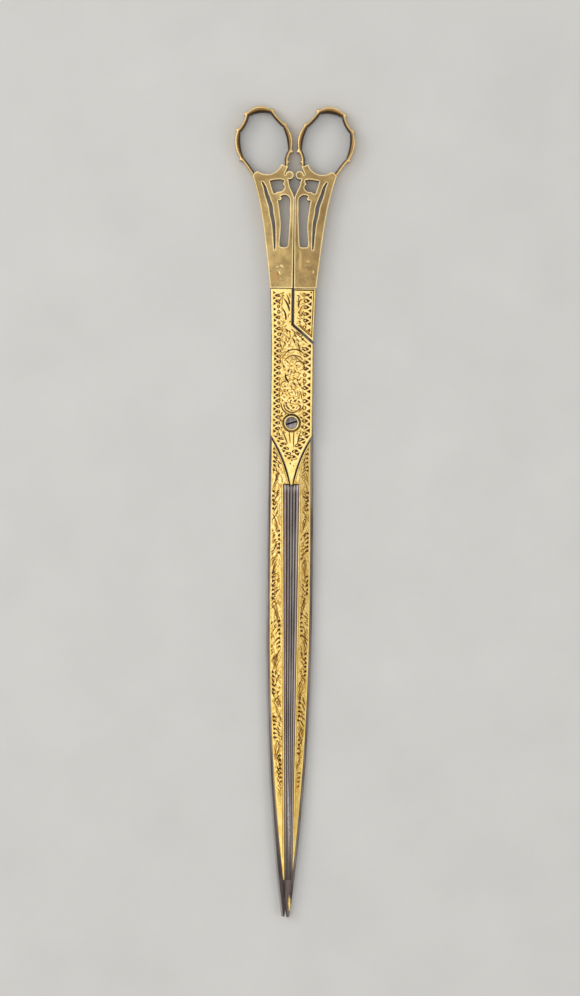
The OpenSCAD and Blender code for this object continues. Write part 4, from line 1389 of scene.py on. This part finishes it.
print("the middle line has", len(bow_line()), "points")

# %% [markdown]
# The section stands square to the middle line. Only its two ends are turned, so that they lie flat
# on the horns of the handle, where the real bow is brazed.


# %% Bands of the bows
def bow_band(half):
    """Carries the D section along the middle line. A section point has a distance outwards and a
    height: the outside is flat with rounded corners, the inside is half an ellipse."""
    line = bow_line()
    way = np.gradient(line[:, :2], axis=0)
    for row, seat in ((0, outer_seat), (-1, inner_seat[::-1])):
        across = seat[1] - seat[0]
        way[row] = across[1], -across[0]
    out = np.stack([-way[:, 1], way[:, 0]], 1) / np.hypot(way[:, 0], way[:, 1])[:, None]
    thick, nib, pinch, lobe = (line[:, i][:, None] for i in (2, 3, 4, 5))
    turn = np.linspace(0, math.pi / 2, 5)
    eased = bow_ease * np.sin(turn), bow_ease * np.cos(turn)
    outside_n = np.concatenate([eased[0], eased[1]]) - bow_ease
    outside_z = np.concatenate([-eased[1], eased[0]]) - np.repeat([-bow_ease, bow_ease], 5)
    outside_z += np.repeat([-bow_depth / 2, bow_depth / 2], 5)
    face = np.concatenate([np.sin(turn), np.cos(turn)])
    around = np.linspace(math.pi / 2, -math.pi / 2, 17)
    n_out = thick / 2 + outside_n
    pinched = pinch_depth * pinch * np.cos(around)
    n_in = 0.05 * thick - (0.55 * thick - pinched) * np.cos(around)
    plain = np.concatenate([n_out, n_in], 1)
    n = np.concatenate([n_out + nib * face, n_in], 1)
    z = np.concatenate([outside_z, bow_depth / 2 * np.sin(around)])
    x = line[:, :1] + out[:, :1] * n
    y = line[:, 1:2] + out[:, 1:] * n
    points = np.stack([x, y, np.broadcast_to(z, x.shape)], -1)
    rings, around_n = x.shape
    index = np.arange(rings * around_n).reshape(rings, around_n)
    index = np.concatenate([index, index[:, :1]], 1)
    faces = [grid_faces(index), index[:1, :-1], index[-1:, -2::-1]]
    values = {"inward": 0.5 - plain / thick, "lobe": np.broadcast_to(lobe, x.shape)}
    return new_piece(half + "_bow_band", placed(points.reshape(-1, 3), half), faces, values)


for half in ("front", "back"):
    fit(bow_band(half), half, half + "_bow", "bow_brass", bow_brass)


# %% [markdown]
# ## Handles, rivets, screw and collar
# These keep the imported shape. A merged copy gets a bevel, because a real casting has no knife edges,
# and the bevel's faces take the brighter brass, which stands for polish from wear with a painted
# highlight on it.


# %% Bevelled copies
def bevelled(node, name, width, finishes, segments=3, limit=40):
    """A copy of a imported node, merged, with its flat faces joined and its sharp edges rounded. The
    rounded faces take the last of the finishes."""
    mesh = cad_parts[node].data.copy()
    work = bmesh.new()
    work.from_mesh(mesh)
    bmesh.ops.remove_doubles(work, verts=work.verts, dist=1e-6)
    joined = math.radians(0.8)
    bmesh.ops.dissolve_limit(work, angle_limit=joined, verts=work.verts, edges=work.edges)
    work.to_mesh(mesh)
    work.free()
    mesh.materials.clear()
    for finish in finishes:
        mesh.materials.append(finish)
    mesh.polygons.foreach_set("material_index", [0] * len(mesh.polygons))
    mesh.shade_smooth()
    mesh.set_sharp_from_angle(angle=math.radians(limit))
    piece = in_scene(name, mesh)
    rounding = piece.modifiers.new("rounded edges", "BEVEL")
    rounding.width = width * MM
    rounding.segments = segments
    rounding.limit_method = "ANGLE"
    rounding.angle_limit = math.radians(limit)
    rounding.material = len(finishes) - 1
    return piece


for half, brass in (("front", front_brass), ("back", back_brass)):
    plate = bevelled(half + "_handle", half + "_plate", 0.3, [brass, edge_brass])
    pins = bevelled(half + "_handle_rivets", half + "_pins", 0.05, [brass])
    fit(plate, half, half + "_handle", "cast_brass")
    fit(pins, half, half + "_handle_rivets", "cast_brass")

screw = bevelled("pivot_screw", "slotted_screw", 0.08, [screw_steel])
collar = bevelled("pivot_collar", "domed_collar", 0.06, [collar_brass, edge_brass], limit=50)
fit(screw, "back", "pivot_screw", "screw_steel")
fit(collar, "back", "pivot_collar", "cast_brass")

# %% [markdown]
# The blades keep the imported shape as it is, with its flutes, and only take their steel.

# %% Steel of the blades
for half in ("front", "back"):
    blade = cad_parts[half + "_blade"]
    blade.data.materials.clear()
    blade.data.materials.append(blade_steels[half])

# %% [markdown]
# ## Floor, light and camera
# The scissors lie on a plain pale floor. It is set a tenth of a millimetre below them, because two
# faces in one plane would flicker through each other.

# %% Floor
floor_mesh = bpy.data.meshes.new("floor")
reach = 1.5
drop = -0.0001
floor_mesh.from_pydata(
    [(-reach, -reach, drop), (reach, -reach, drop), (reach, reach, drop), (-reach, reach, drop)],
    [], [(0, 1, 2, 3)],
)
floor = in_scene("floor", floor_mesh)
pale = Finish("pale_floor")
clouds = pale.noise(30.0, 5.0).ramp((0.3, (206, 205, 202)), (0.7, (212, 211, 208)))
pale.feed(pale.shader, {"Base Color": clouds, "Roughness": 0.85})
floor_mesh.materials.append(pale.material)

# %% [markdown]
# A broad soft lamp stands overhead and a little to the left, so that the left facets are brighter
# than the right ones. Weaker lamps light both sides.

# %% Light
world = bpy.data.worlds.new("studio")
bpy.context.scene.world = world
world.use_nodes = True
sky = world.node_tree.nodes["Background"]
sky.inputs["Color"].default_value = (1.0, 0.99, 0.97, 1.0)
sky.inputs["Strength"].default_value = 0.6


def lamp(name, place, size, power):
    """A square soft lamp at a place in metres, aimed at the crossing."""
    data = bpy.data.lights.new(name, "AREA")
    data.size = size
    data.energy = power
    made = in_scene(name, data)
    made.location = place
    made.rotation_mode = "QUATERNION"
    made.rotation_quaternion = (-made.location).to_track_quat("-Z", "Y")


lamp("key", (-0.27, 0.0, 1.3), size=1.0, power=4.3)
lamp("left", (-0.75, 0.35, 0.7), size=0.4, power=2.0)
lamp("right", (0.8, -0.3, 0.7), size=0.4, power=1.2)

# %% [markdown]
# The camera looks straight down from about a metre, turned by the small angle at which the pair
# lies in the photograph. A pixel of the picture is 0.35 mm there.

# %% Camera
photo_high, pixel = 996, 0.35
frame_high = photo_high * pixel
aim_x, aim_y = -0.2, -26.25
turned = math.radians(0.728)
lens = 100.0
sensor = 36.0
camera_data = bpy.data.cameras.new("camera")
camera_data.lens = lens
camera_data.sensor_width = sensor
camera_data.clip_start = 0.01
camera = in_scene("camera", camera_data)
distance = frame_high / 2 / (sensor / 2 / lens)
camera.location = (aim_x * MM, aim_y * MM, (distance + 2 * half_t) * MM)
camera.rotation_euler = (0, 0, turned)
bpy.context.scene.camera = camera
bpy.context.scene.view_settings.view_transform = "Standard"
print("the camera stands", round(distance), "mm above the scissors")
